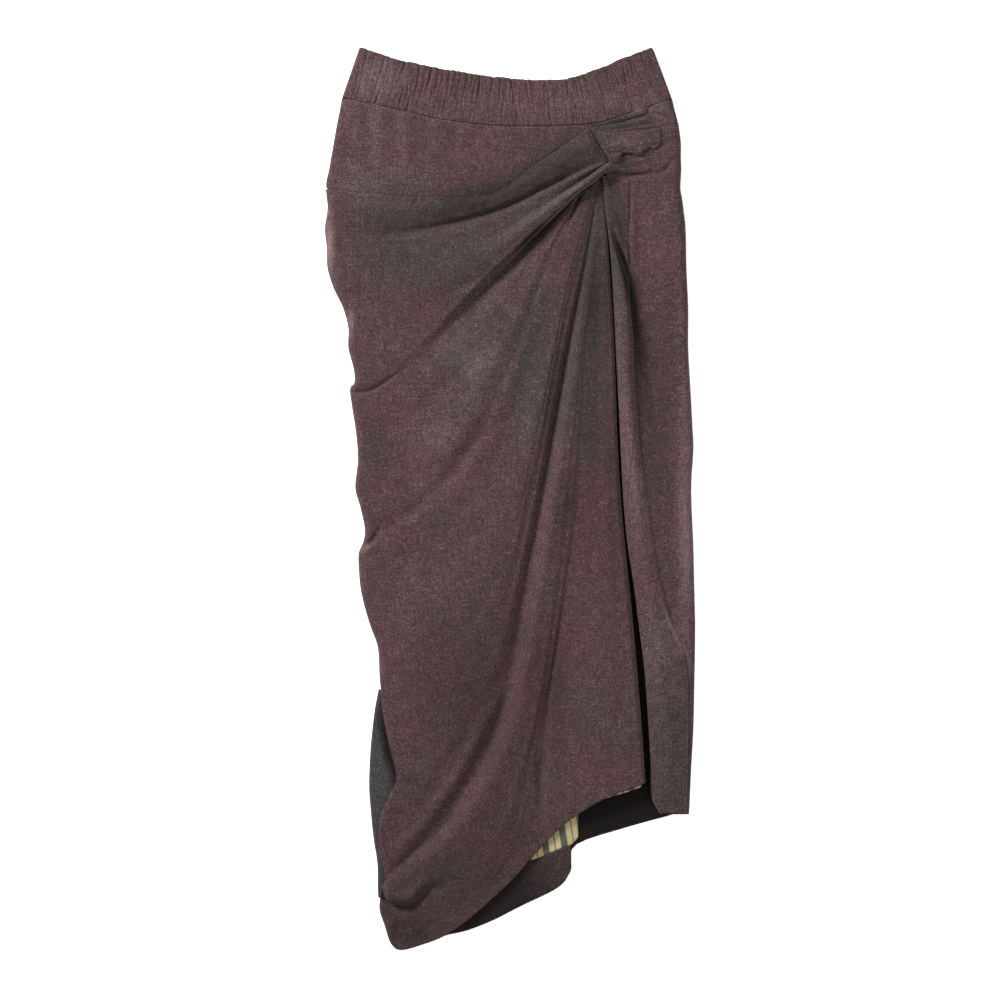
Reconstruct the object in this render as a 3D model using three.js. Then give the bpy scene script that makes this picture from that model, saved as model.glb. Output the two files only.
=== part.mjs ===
// A draped wrap skirt laid flat on its back panel, in millimetres.
// +X runs to the right as the skirt is seen from above, +Y runs towards the waist and +Z is up.
// The origin is on the surface it lies on, under the middle of its outline.
import * as THREE from "three";

// Driving sizes
const CLOTH = 1.6; // wall of the outer cloth
const LINING = 0.9; // wall of the striped lining
const TIE_WALL = 2.6; // the tied end is folded double and pressed
const SEAM = 0.3; // gap between sewn pieces
const FACING = 0.9; // turned hem, pressed thin
const FACING_FROM = 1; // it starts just inside the back's lower edge
const FACING_WIDTH = 40; // and ends this far up
const BAND_WALL = 2.6; // elastic in its casing
const BAND_HOLLOW = 1.2; // left between the two runs of the waistband
const GATHERS = 48; // puckers on each run of the waistband
const GATHER_DEPTH = 0.9;
const GATHER_MEAN = 0.55; // part of that depth that a middling pucker has
const GATHER_BEATS = { fast: 7.3, slow: 2.3, rise: 2.1 }; // how the puckers' depths come and go
const ROLL = 10; // how far the wrap's side takes to turn down to the surface
const PANEL_ROLL = 9; // the same for the right side panel
const YOKE_ROLL = 7; // the same for the yoke
const RETURN_ROLL = 5; // the same for the side return
const FOLD_SLACK = 1.08; // length of a fold against the straight line from the knot to its end
const LATE_BEND = 6; // how late a line between two folds leaves them for its own place on the outline
const SIDE_FOOT = 0.4; // height of a turned side's lower edge
const STEEPEST = 1.8; // most that a slanted wall is thickened straight down
const LEAST_UP = 0.1; // a wall's face never counts as steeper than this
const BACK_TOP = CLOTH; // the back panel lies on the surface
const LOWEST_EDGE = 0.15; // nothing that turns down comes nearer the surface

// Colours of the cloth and the lining
const PLUM = 0x54403f;
const MOSS = 0x4c4740;
const STRAW = 0xa8945c;

// Stations along a fold, from the knot to the outline
const STATIONS = [0, 0.08, 0.25, 0.5, 0.75, 0.9, 1];

// Outline of the wrap from its upper left corner, down the left side and along the hem to the slit.
// foot is the height where the side lands, roll is 1 where it turns down and 0 on the free hem.
const OUTLINE = [
  { x: -213, y: 357, foot: SIDE_FOOT, roll: 1 },
  { x: -211, y: 335, foot: SIDE_FOOT, roll: 1 },
  { x: -214, y: 312, foot: SIDE_FOOT, roll: 1 },
  { x: -212, y: 290, foot: SIDE_FOOT, roll: 1 },
  { x: -211, y: 266, foot: SIDE_FOOT, roll: 1 },
  { x: -204, y: 243, foot: SIDE_FOOT, roll: 1 },
  { x: -193, y: 220, foot: SIDE_FOOT, roll: 1 },
  { x: -187, y: 197, foot: SIDE_FOOT, roll: 1 },
  { x: -187, y: 174, foot: SIDE_FOOT, roll: 1 },
  { x: -181, y: 151, foot: SIDE_FOOT, roll: 1 },
  { x: -180, y: 135, foot: SIDE_FOOT, roll: 1 },
  { x: -185, y: 127, foot: SIDE_FOOT, roll: 1 },
  { x: -183, y: 108, foot: SIDE_FOOT, roll: 1 },
  { x: -178, y: 75, foot: SIDE_FOOT, roll: 1 },
  { x: -176, y: 45, foot: SIDE_FOOT, roll: 1 },
  { x: -179, y: 13, foot: SIDE_FOOT, roll: 1 },
  { x: -173, y: -10, foot: SIDE_FOOT, roll: 1 },
  { x: -168, y: -35, foot: SIDE_FOOT, roll: 1 },
  { x: -170, y: -50, foot: SIDE_FOOT, roll: 1 },
  { x: -175, y: -62, foot: SIDE_FOOT, roll: 1 },
  { x: -175, y: -79, foot: SIDE_FOOT, roll: 1 },
  { x: -173, y: -102, foot: SIDE_FOOT, roll: 1 },
  { x: -168, y: -125, foot: SIDE_FOOT, roll: 1 },
  { x: -161, y: -148, foot: SIDE_FOOT, roll: 1 },
  { x: -153, y: -171, foot: SIDE_FOOT, roll: 1 },
  { x: -151, y: -204, foot: SIDE_FOOT, roll: 1 },
  { x: -149, y: -221, foot: 6.8, roll: 1 },
  { x: -146, y: -250, foot: 6.6, roll: 1 },
  { x: -139, y: -285, foot: 6.6, roll: 1 },
  { x: -131, y: -320, foot: 6.6, roll: 1 },
  { x: -140, y: -342, foot: 6.6, roll: 1 },
  { x: -150, y: -368, foot: 6.6, roll: 1 },
  { x: -151, y: -400, foot: 6.6, roll: 1 },
  { x: -144, y: -433, foot: 6.6, roll: 1 },
  { x: -148, y: -450, foot: 6.6, roll: 1 },
  { x: -151, y: -471, foot: 3.5, roll: 1 },
  { x: -145, y: -492, foot: SIDE_FOOT, roll: 1 },
  { x: -138, y: -512, foot: SIDE_FOOT, roll: 0.8 },
  { x: -126, y: -519, foot: 2.4, roll: 0.3 },
  { x: -100, y: -512, foot: 4, roll: 0 },
  { x: -75, y: -502, foot: 4, roll: 0 },
  { x: -50, y: -485, foot: 4, roll: 0 },
  { x: -20, y: -459, foot: 4, roll: 0 },
  { x: 5, y: -435, foot: 4, roll: 0 },
  { x: 25, y: -412, foot: 4, roll: 0 },
  { x: 45, y: -390, foot: 4, roll: 0 },
  { x: 66, y: -371, foot: 4, roll: 0 },
  { x: 88, y: -356, foot: 4, roll: 0 },
  { x: 112, y: -342, foot: 4, roll: 0 },
  { x: 135, y: -334, foot: 4, roll: 0 },
  { x: 155, y: -326, foot: 4, roll: 0 },
];

// The wrap's folds in order round the knot. rim is the place in OUTLINE where the fold runs out, crease is
// how sharp its valley is, x and y are its stations before that, and z is the cloth's upper face at each.
const FOLDS = [
  { fold: "top edge", rim: 0, crease: 0, x: [92, 72, 30, -25, -110, -170],
    y: [429, 414, 386, 351, 348, 352], z: [8.2, 8, 6.6, 6.2, 6.2, 6.4, 6.6] },
  { fold: "band", rim: 0.8, crease: 0, x: [103, 82, 38, -25, -112, -170], y: [410, 399, 374, 343, 330, 333],
    z: [8.4, 13, 13, 11.6, 10, 9, 8.5] },
  { fold: "band crease", rim: 1.9, crease: 1, x: [111, 85, 40, -25, -110, -168],
    y: [390, 380, 358, 330, 309, 305], z: [8.6, 9.5, 7.5, 6.8, 7.4, 8.4, 8.8] },
  { fold: "small roll", rim: 2.4, crease: 0, x: [111, 84, 40, -25, -110, -168],
    y: [387, 374, 350, 318, 297, 294], z: [8.8, 13.5, 13.4, 12, 10.4, 9.4, 8.8] },
  { fold: "small crease", rim: 3, crease: 0.5, x: [110, 82, 38, -25, -110, -168],
    y: [384, 366, 338, 302, 280, 278], z: [8.8, 11.5, 13.2, 13, 11.8, 10.4, 9] },
  { fold: "hip roll", rim: 4.2, crease: 0, x: [108, 81, 38, -22, -110, -165],
    y: [381, 360, 327, 285, 245, 245], z: [9, 19, 20, 16.4, 13.5, 11.5, 9.5] },
  { fold: "hip lip", rim: 9.6, crease: 0, x: [103, 80, 36, -25, -97, -150],
    y: [375, 355, 318, 262, 188, 147], z: [9, 17, 19, 14.5, 11, 9.8, 9] },
  { fold: "hip crease", rim: 10.3, crease: 1, x: [101, 78, 33, -30, -105, -154],
    y: [374.5, 350.5, 308, 243, 164, 131], z: [7.6, 8.4, 5.2, 5.2, 6.8, 7.4, 7.4] },
  { fold: "side slope", rim: 12.2, crease: 0, x: [100.4, 76, 31, -22, -97, -148],
    y: [373.4, 347, 288, 212, 134, 108], z: [8, 11.4, 10.4, 11, 10.8, 10, 9] },
  { fold: "faint crease", rim: 13, crease: 0.5, x: [100, 75.5, 34, -19, -88, -145],
    y: [372.6, 344, 281, 192, 117, 84], z: [8, 11.2, 11.8, 10.8, 9.8, 9.4, 9] },
  { fold: "middle slope", rim: 15, crease: 0, x: [99.8, 76.5, 39, -10, -76, -140],
    y: [371.8, 345, 279, 172, 76, 28], z: [8, 12, 13, 12.8, 12, 10.8, 9] },
  { fold: "long crease", rim: 18, crease: 0.6, x: [99.8, 78, 45, 0, -63, -130],
    y: [371, 343, 278, 155, 34, -25], z: [7.6, 9.4, 12, 11, 9.8, 8.4, 7] },
  { fold: "narrow roll", rim: 20, crease: 0, x: [100, 81, 51, 8, -52, -122],
    y: [370.4, 342, 277, 152, 24, -48], z: [8, 11.5, 13.2, 12.4, 11.2, 10.2, 9.6] },
  { fold: "second faint crease", rim: 21.5, crease: 0.5, x: [100.2, 84, 58, 17, -40, -118],
    y: [369.9, 340, 274, 144, 6, -78], z: [7.8, 12, 13.4, 11.8, 10.4, 9.8, 9.4] },
  { fold: "left plain", rim: 25, crease: 0, x: [100.5, 88, 66, 31, -15, -95],
    y: [369.5, 334, 254, 92, -62, -165], z: [8, 12.5, 14, 14, 13.2, 12.4, 9] },
  { fold: "notch line", rim: 26.1, crease: 0, x: [100.7, 88.3, 65.7, 30.7, -13.5, -90],
    y: [369.3, 329, 241, 70, -93, -201], z: [8, 12.4, 13.4, 13.3, 12.8, 12, 8.8] },
  { fold: "left slope", rim: 29, crease: 0, x: [101, 89, 65, 30, -10, -78],
    y: [369.1, 318, 210, 20, -165, -285], z: [7.8, 12, 11.2, 11.2, 11, 10.6, 8.6] },
  { fold: "great crease", rim: 33, crease: 1, x: [101.4, 90, 62, 25, -18, -84],
    y: [368.9, 297, 152, -57, -265, -375], z: [7.6, 10.6, 5.4, 5.6, 5.4, 6.2, 8.2] },
  { fold: "great roll", rim: 34.3, crease: 0, x: [101.8, 97, 75, 43, 12, -58],
    y: [368.8, 297, 152, -57, -268, -402], z: [8, 12, 15.6, 16.5, 16, 15, 11] },
  { fold: "pouch crease", rim: 35.4, crease: 0.8, x: [102.2, 98.5, 79, 53, 24, -42],
    y: [368.8, 297, 153, -52, -272, -432], z: [8, 12, 14.8, 14.6, 14, 9.6, 4.6] },
  { fold: "corner slope", rim: 38, crease: 0, x: [102.6, 99.8, 83, 64, 32, -15],
    y: [368.8, 298, 158, -42, -258, -422], z: [8, 11.9, 13.2, 11, 11, 10.4, 6] },
  { fold: "hem crease", rim: 44.6, crease: 0.7, x: [103, 101, 86.5, 76, 44, 37],
    y: [368.9, 300, 172, -18, -205, -320], z: [7.8, 11.6, 11.4, 7.8, 7.2, 7.2, 7.6] },
  { fold: "hem roll", rim: 45.2, crease: 0, x: [103.4, 102.6, 93, 86, 53, 47],
    y: [369, 300, 172, -18, -205, -317], z: [8, 11.6, 11.2, 8, 10, 11, 10] },
  { fold: "second hem crease", rim: 46, crease: 0.7, x: [103.8, 104.2, 100, 96, 61, 58],
    y: [369.2, 300, 172, -18, -203, -312], z: [7.8, 11.6, 11.4, 8.2, 8, 8.8, 9.4] },
  { fold: "slit plain", rim: 48, crease: 0, x: [104.1, 107, 108.5, 111, 112, 111],
    y: [369.4, 302, 177, -8, -180, -285], z: [8, 12, 13.4, 13.4, 14.4, 15.2, 15.4] },
  { fold: "slit roll", rim: 49.8, crease: 0, x: [104.4, 109.2, 115, 121.5, 137, 146],
    y: [369.7, 304, 185, 10, -160, -262], z: [8, 11.6, 12.6, 12.6, 13.6, 14.8, 15] },
  { fold: "slit edge", rim: 50, crease: 0.6, x: [104.7, 111, 118.5, 126, 142, 150.5],
    y: [370.1, 306, 190, 17, -155, -258], z: [7.4, 8, 8, 8, 9, 10.5, 12] },
];

// Sections down the turned edge beside the slit: its left side, ridge and right side, and their heights.
const TURNED_EDGE = [
  { y: 371, left: 106.2, ridge: 107.2, right: 109, zLeft: 10.2, zRidge: 10.8, zRight: 10 },
  { y: 360, left: 106.6, ridge: 109, right: 115, zLeft: 10, zRidge: 12, zRight: 10 },
  { y: 350, left: 107.8, ridge: 110.4, right: 124, zLeft: 9.4, zRidge: 12.6, zRight: 10 },
  { y: 340, left: 109, ridge: 112, right: 133, zLeft: 9, zRidge: 12.8, zRight: 9.8 },
  { y: 325, left: 110.6, ridge: 113.8, right: 136, zLeft: 8.6, zRidge: 13, zRight: 9.6 },
  { y: 310, left: 112.8, ridge: 116.6, right: 135.5, zLeft: 8.6, zRidge: 13, zRight: 9.4 },
  { y: 295, left: 114.4, ridge: 121, right: 135.5, zLeft: 8.6, zRidge: 13.2, zRight: 9.2 },
  { y: 280, left: 116, ridge: 125, right: 135.5, zLeft: 8.6, zRidge: 13.4, zRight: 9.6 },
  { y: 262, left: 117.4, ridge: 129, right: 136, zLeft: 8.4, zRidge: 14, zRight: 10.2 },
  { y: 225, left: 119.6, ridge: 130, right: 137.4, zLeft: 8.4, zRidge: 14.6, zRight: 10.4 },
  { y: 190, left: 121.4, ridge: 132, right: 140.5, zLeft: 8.4, zRidge: 15, zRight: 11.4 },
  { y: 150, left: 123.4, ridge: 134, right: 142, zLeft: 8.4, zRidge: 15.4, zRight: 11.8 },
  { y: 100, left: 126, ridge: 137, right: 145.5, zLeft: 8.4, zRidge: 15.4, zRight: 11.8 },
  { y: 50, left: 128.4, ridge: 140, right: 150, zLeft: 8.4, zRidge: 15.2, zRight: 11.8 },
  { y: 0, left: 131, ridge: 144, right: 157, zLeft: 8.4, zRidge: 14.8, zRight: 11.2 },
  { y: -50, left: 135.6, ridge: 149, right: 164, zLeft: 8.4, zRidge: 14.2, zRight: 10.2 },
  { y: -100, left: 142, ridge: 157, right: 174, zLeft: 8.6, zRidge: 13.6, zRight: 9.2 },
  { y: -140, left: 147, ridge: 164, right: 184, zLeft: 8.6, zRidge: 13.2, zRight: 8.4 },
  { y: -170, left: 151, ridge: 171, right: 197, zLeft: 8.6, zRidge: 13, zRight: 7.8 },
  { y: -200, left: 154.4, ridge: 176, right: 203, zLeft: 8.6, zRidge: 12.8, zRight: 7.2 },
  { y: -250, left: 158, ridge: 179, right: 204.5, zLeft: 8.6, zRidge: 12.4, zRight: 6.8 },
  { y: -300, left: 161, ridge: 181, right: 203.5, zLeft: 8.2, zRidge: 12, zRight: 6.8 },
  { y: -345, left: 163, ridge: 183, right: 202.5, zLeft: 7.6, zRidge: 11, zRight: 6.8 },
  { y: -362, left: 172, ridge: 186, right: 202, zLeft: 7.2, zRidge: 10, zRight: 6.8 },
];

// Sections down the right side panel: the edge hidden under the turned edge, and the outline.
// lift is the height of the panel's upper face, and belly is how much higher it stands towards its outer side.
const SIDE_PANEL = [
  { y: 424, left: 101, right: 192.4, lift: 8.4, belly: 0 },
  { y: 404, left: 114, right: 196, lift: 8.2, belly: 0 },
  { y: 392, left: 115, right: 196.5, lift: 8.1, belly: 0.2 },
  { y: 381, left: 113, right: 197, lift: 8, belly: 0.4 },
  { y: 370, left: 108.5, right: 196.5, lift: 7.8, belly: 0.8 },
  { y: 358, left: 109.5, right: 196, lift: 7.6, belly: 1.2 },
  { y: 346, left: 112, right: 198, lift: 7.2, belly: 1.8 },
  { y: 335, left: 115, right: 199.5, lift: 6.8, belly: 2.2 },
  { y: 312, left: 120, right: 202, lift: 6.2, belly: 3 },
  { y: 266, left: 124, right: 203, lift: 5.4, belly: 4 },
  { y: 220, left: 127, right: 205, lift: 4.6, belly: 4 },
  { y: 174, left: 130, right: 205, lift: 4.6, belly: 4 },
  { y: 128, left: 133, right: 207.5, lift: 4.6, belly: 3.6 },
  { y: 82, left: 136, right: 210, lift: 4.6, belly: 3.6 },
  { y: 59, left: 138, right: 211, lift: 4.6, belly: 3.6 },
  { y: 13, left: 142, right: 208.5, lift: 4.6, belly: 3 },
  { y: -56, left: 149, right: 211, lift: 4.6, belly: 2 },
  { y: -102, left: 156, right: 212, lift: 4.6, belly: 1 },
  { y: -148, left: 164, right: 213, lift: 4.6, belly: 0 },
  { y: -217, left: 172, right: 212, lift: 4.6, belly: 0 },
  { y: -263, left: 176, right: 211, lift: 4.6, belly: 0 },
  { y: -309, left: 178, right: 208.5, lift: 4.6, belly: 0 },
  { y: -363, left: 182, right: 206, lift: 4.6, belly: 0 },
];
const SIDE_PANEL_TOP_RISE = 10; // how far its top edge climbs from the knot to the right side
const SIDE_PANEL_TROUGHS = [
  { name: "hip tuck", x: [108, 150, 190], y: [418, 422, 434], depth: 1.6, width: 5 },
  { name: "middle tuck", x: [150, 172, 196], y: [398, 403, 415], depth: 1.4, width: 4 },
  { name: "lower tuck", x: [113, 150, 197], y: [378, 376, 396], depth: 1.6, width: 5 },
];

// The waistband: places across it, its lower seam and its top edge, which sags between the side corners.
const BAND_SECTIONS = [
  { across: 0, seam: 462, top: 520 },
  { across: 0.12, seam: 453, top: 507 },
  { across: 0.28, seam: 439, top: 496 },
  { across: 0.45, seam: 431, top: 487 },
  { across: 0.6, seam: 430, top: 483 },
  { across: 0.7, seam: 431, top: 484 },
  { across: 0.78, seam: 434, top: 491 },
  { across: 0.9, seam: 448, top: 507 },
  { across: 1, seam: 461, top: 520 },
];
const BAND_SIDES = { seamLeft: -194, seamRight: 186, topLeft: -174, topRight: 164 };

// The upper front under the waistband: its sides, where a high foot lies flat under its neighbour, its hidden
// lower edge across it, and the soft folds that hang from the seam.
const YOKE_LEFT = [
  { y: 462, x: -194.5, foot: SIDE_FOOT },
  { y: 450, x: -196.5, foot: SIDE_FOOT },
  { y: 427, x: -201, foot: SIDE_FOOT },
  { y: 404, x: -205, foot: SIDE_FOOT },
  { y: 381, x: -209, foot: SIDE_FOOT },
  { y: 359, x: -212.4, foot: SIDE_FOOT },
  { y: 352, x: -204.5, foot: 3.7 },
  { y: 332, x: -202, foot: 3.7 },
];
const YOKE_RIGHT = [
  { y: 461, x: 186.5, foot: SIDE_FOOT },
  { y: 450, x: 188.5, foot: SIDE_FOOT },
  { y: 437, x: 190, foot: SIDE_FOOT },
  { y: 430, x: 184, foot: 3.7 },
  { y: 400, x: 184, foot: 3.7 },
];
const YOKE_LOWER = [
  { across: 0, y: 332 },
  { across: 0.45, y: 326 },
  { across: 0.6, y: 350 },
  { across: 0.72, y: 384 },
  { across: 1, y: 400 },
];
const YOKE_AT_SEAM = 6; // height of its upper face at the seam and below
const YOKE_BELOW = 3.9;
const YOKE_SETTLE = 20; // distance in which it settles
const YOKE_FOLDS = [
  { x: -176, width: 9, height: 1.8, reach: 70 },
  { x: -150, width: 12, height: 2.4, reach: 90 },
  { x: -118, width: 9, height: 1.5, reach: 80 },
  { x: -84, width: 12, height: 1.6, reach: 60 },
  { x: -52, width: 10, height: 1.2, reach: 55 },
  { x: -14, width: 13, height: 1.2, reach: 45 },
  { x: 24, width: 10, height: 0.9, reach: 35 },
];

// The back panel's outline, in sections down from the waistband seam.
const BACK_SIDES = [
  { y: 460, left: -189, right: 180.5 },
  { y: 404, left: -200.5, right: 185 },
  { y: 357, left: -204.5, right: 190 },
  { y: 312, left: -207, right: 196 },
  { y: 266, left: -204, right: 198 },
  { y: 220, left: -187, right: 199 },
  { y: 174, left: -181, right: 200 },
  { y: 133, left: -175, right: 202 },
  { y: 60, left: -171, right: 205 },
  { y: 0, left: -168, right: 203 },
  { y: -40, left: -163, right: 204 },
  { y: -102, left: -167, right: 207 },
  { y: -148, left: -155, right: 207.5 },
  { y: -185, left: -146, right: 207.5 },
  { y: -222, left: -144, right: 207 },
  { y: -290, left: -151, right: 204.5 },
  { y: -340, left: -154, right: 202.5 },
  { y: -358, left: -153, right: 201 },
  { y: -376, left: -151, right: 141 },
  { y: -398, left: -149, right: 76 },
  { y: -425, left: -146, right: 69 },
  { y: -445, left: -146, right: 49 },
  { y: -466, left: -146, right: 9 },
  { y: -488, left: -140, right: -31 },
  { y: -502, left: -136, right: -74 },
  { y: -511, left: -131, right: -100 },
];

// The side of the back that turns round to the front at the lower left.
const SIDE_RETURN = [
  { y: -223, left: -152.5, right: -124 },
  { y: -250, left: -157, right: -116 },
  { y: -290, left: -161, right: -108 },
  { y: -330, left: -163, right: -106 },
  { y: -360, left: -161, right: -112 },
  { y: -390, left: -158, right: -118 },
  { y: -420, left: -153, right: -122 },
  { y: -446, left: -153, right: -126 },
  { y: -457, left: -153, right: -130 },
];
const RETURN_TOP = 4.4;

// The hem of the back inside the opening: a near part that folds forward on the left, and a far part on the
// right.
const NEAR_HEM = [
  { x: -78, low: -503, rise: 2.9 },
  { x: -50, low: -495, rise: 2.9 },
  { x: -20, low: -482, rise: 2.9 },
  { x: 10, low: -466, rise: 3 },
  { x: 35, low: -453, rise: 3.6 },
  { x: 52, low: -444, rise: 4.8 },
  { x: 63, low: -435, rise: 6 },
  { x: 70, low: -422, rise: 5 },
];
const FAR_HEM = [
  { x: 60, low: -405, rise: 2.9 },
  { x: 80, low: -396, rise: 2.9 },
  { x: 100, low: -388, rise: 2.9 },
  { x: 140, low: -376, rise: 2.9 },
  { x: 151, low: -371.5, rise: 2.9 },
  { x: 170, low: -363, rise: 2.9 },
  { x: 188, low: -358, rise: 2.9 },
];
const LINING_END = 155; // the striped lining stops short of the slit
const LINING_DEPTH = 46; // how far the striped lining is carried up inside the opening

// The knot's roll over the fold ends, and the tied end to its right.
const KNOT_PATH = [
  { x: 76, y: 355.5, z: 20.9, radius: 1.2 },
  { x: 87, y: 362.5, z: 21.2, radius: 4.6 },
  { x: 97, y: 370, z: 19.8, radius: 6.4 },
  { x: 107, y: 377, z: 17.8, radius: 6.8 },
  { x: 118, y: 380, z: 15.4, radius: 6 },
  { x: 131, y: 382, z: 13, radius: 5.4 },
  { x: 148, y: 386, z: 11.4, radius: 3.8 },
  { x: 163, y: 390, z: 9.8, radius: 1.4 },
];
const KNOT_RINGS = 16;
const KNOT_SIDES = 12;
const KNOT_TWIST = 3.2; // turns of the pinched creases, in radians
const KNOT_CREASE = 0.7;
const KNOT_FLATNESS = 0.8; // its height against its width
const TIE_CROWN = 1.8; // how much the tied end swells along its middle
const TIE_SKEW = 0.8; // how much of that lies towards its lower edge
const TIE_END = [
  { x: 92, low: 425.5, high: 428.5, lift: 13.4 },
  { x: 98, low: 413, high: 427, lift: 13.8 },
  { x: 105, low: 401.5, high: 425, lift: 14.6 },
  { x: 113, low: 391, high: 423, lift: 15.6 },
  { x: 120, low: 387.6, high: 422.5, lift: 16.2 },
  { x: 126, low: 391, high: 422.5, lift: 16 },
  { x: 132, low: 398, high: 422.5, lift: 15.2 },
  { x: 146, low: 396.5, high: 423.5, lift: 14 },
  { x: 158, low: 403, high: 425, lift: 13.2 },
  { x: 170, low: 407, high: 427, lift: 12.2 },
];

const clamp = THREE.MathUtils.clamp;
const lerp = THREE.MathUtils.lerp;
const smooth = (f) => f * f * (3 - 2 * f);

// A smooth curve through values at uneven stations, as a function of the station.
function curveThrough(stations, values) {
  const last = stations.length - 1;
  const slopes = values.map((_, i) => {
    const before = Math.max(i - 1, 0);
    const after = Math.min(i + 1, last);
    return (values[after] - values[before]) / (stations[after] - stations[before]);
  });
  return (station) => {
    let i = 0;
    while (i < last - 1 && station > stations[i + 1]) i += 1;
    const span = stations[i + 1] - stations[i];
    const f = clamp((station - stations[i]) / span, 0, 1);
    const rise = smooth(f);
    return (
      lerp(values[i], values[i + 1], rise) +
      span * f * (1 - f) * ((1 - f) * slopes[i] - f * slopes[i + 1])
    );
  };
}

// One named column of a table, as a smooth function of another.
function columnOf(table, along, name) {
  const ordered = [...table].sort((a, b) => a[along] - b[along]);
  return curveThrough(
    ordered.map((row) => row[along]),
    ordered.map((row) => row[name]),
  );
}

// The outline at a place between its rows, with straight stretches from row to row.
function outlineAt(place) {
  const i = Math.min(Math.floor(place), OUTLINE.length - 2);
  const mix = (name) => lerp(OUTLINE[i][name], OUTLINE[i + 1][name], place - i);
  return { x: mix("x"), y: mix("y"), foot: mix("foot"), roll: mix("roll") };
}

// Height of a side that turns down to its foot, at a distance in from the outline.
function rolledHeight(height, foot, distance, width) {
  const in01 = clamp(distance / width, 0, 1);
  return foot + (height - foot) * Math.sqrt(1 - (1 - in01) ** 2);
}

// How far a point lies below its surroundings in a set of soft troughs, each a bent line of three points.
function troughDepth(troughs, x, y) {
  const steps = 12;
  return troughs.reduce((total, trough) => {
    const [xAt, yAt] = [trough.x, trough.y].map((values) => curveThrough([0, 0.5, 1], values));
    let near = Infinity;
    let share = 0;
    for (let k = 0; k <= steps; k += 1) {
      const distance = Math.hypot(x - xAt(k / steps), y - yAt(k / steps));
      if (distance < near) {
        near = distance;
        share = k / steps;
      }
    }
    const fade = Math.sqrt(Math.sin(Math.PI * clamp(share, 0.04, 0.96)));
    return total + trough.depth * fade * Math.exp(-((near / trough.width) ** 2));
  }, 0);
}

// The lower face of a wall: straight down from its upper face, or square to it where it turns over.
function lowerFace(upper, thickness, turning = () => 0) {
  const lastI = upper.length - 1;
  const lastJ = upper[0].length - 1;
  const normals = upper.map((column, i) =>
    column.map((_, j) => {
      const across = upper[Math.min(i + 1, lastI)][j].clone().sub(upper[Math.max(i - 1, 0)][j]);
      const along = column[Math.min(j + 1, lastJ)].clone().sub(column[Math.max(j - 1, 0)]);
      return across.cross(along).normalize();
    }),
  );
  const facing = Math.sign(normals.flat().reduce((sum, n) => sum + n.z, 0));
  return upper.map((column, i) =>
    column.map((point, j) => {
      const normal = normals[i][j].multiplyScalar(facing);
      const drop = thickness * Math.min(STEEPEST, 1 / Math.max(normal.z, LEAST_UP));
      const down = new THREE.Vector3(0, 0, -drop);
      const lower = down.lerp(normal.multiplyScalar(-thickness), turning(i, j)).add(point);
      lower.z = Math.max(lower.z, LOWEST_EDGE);
      return lower;
    }),
  );
}

// Adds the two triangles of each cell between two rows of vertex numbers.
function addStrip(faces, first, second, flip) {
  for (let k = 0; k + 1 < first.length; k += 1) {
    const [a, b, c, d] = [first[k], first[k + 1], second[k + 1], second[k]];
    faces.push(...(flip ? [a, c, b, a, d, c] : [a, b, c, a, c, d]));
  }
}

// A closed body from its vertices and faces, turned so that its faces point out.
function closedGeometry(points, faces) {
  let volume = 0;
  for (let k = 0; k < faces.length; k += 3) {
    const [a, b, c] = [points[faces[k]], points[faces[k + 1]], points[faces[k + 2]]];
    volume += a.dot(b.clone().cross(c));
  }
  const out = volume < 0 ? [...faces].reverse() : faces;
  const geometry = new THREE.BufferGeometry();
  geometry.setAttribute("position", new THREE.Float32BufferAttribute(points.flatMap((p) => p.toArray()), 3));
  geometry.setIndex(out);
  geometry.computeVertexNormals();
  return geometry;
}

// A wall between two grids of points, closed along its four edges.
function wallGeometry(upper, lower) {
  const columns = upper.length;
  const rows = upper[0].length;
  const points = [...upper.flat(), ...lower.flat()];
  const top = (i, j) => i * rows + j;
  const under = (i, j) => columns * rows + i * rows + j;
  const rowNumbers = [...Array(rows).keys()];
  const columnNumbers = [...Array(columns).keys()];
  const faces = [];
  for (let i = 0; i + 1 < columns; i += 1) {
    addStrip(faces, rowNumbers.map((j) => top(i, j)), rowNumbers.map((j) => top(i + 1, j)), false);
    addStrip(faces, rowNumbers.map((j) => under(i, j)), rowNumbers.map((j) => under(i + 1, j)), true);
  }
  [0, columns - 1].forEach((i) =>
    addStrip(faces, rowNumbers.map((j) => top(i, j)), rowNumbers.map((j) => under(i, j)), i === 0),
  );
  [0, rows - 1].forEach((j) =>
    addStrip(faces, columnNumbers.map((i) => top(i, j)), columnNumbers.map((i) => under(i, j)), j !== 0),
  );
  return closedGeometry(points, faces);
}

function meshOf(name, geometry, color) {
  const mesh = new THREE.Mesh(
    geometry,
    new THREE.MeshStandardMaterial({ color, roughness: 0.95, metalness: 0 }),
  );
  mesh.name = name;
  return mesh;
}

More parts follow.
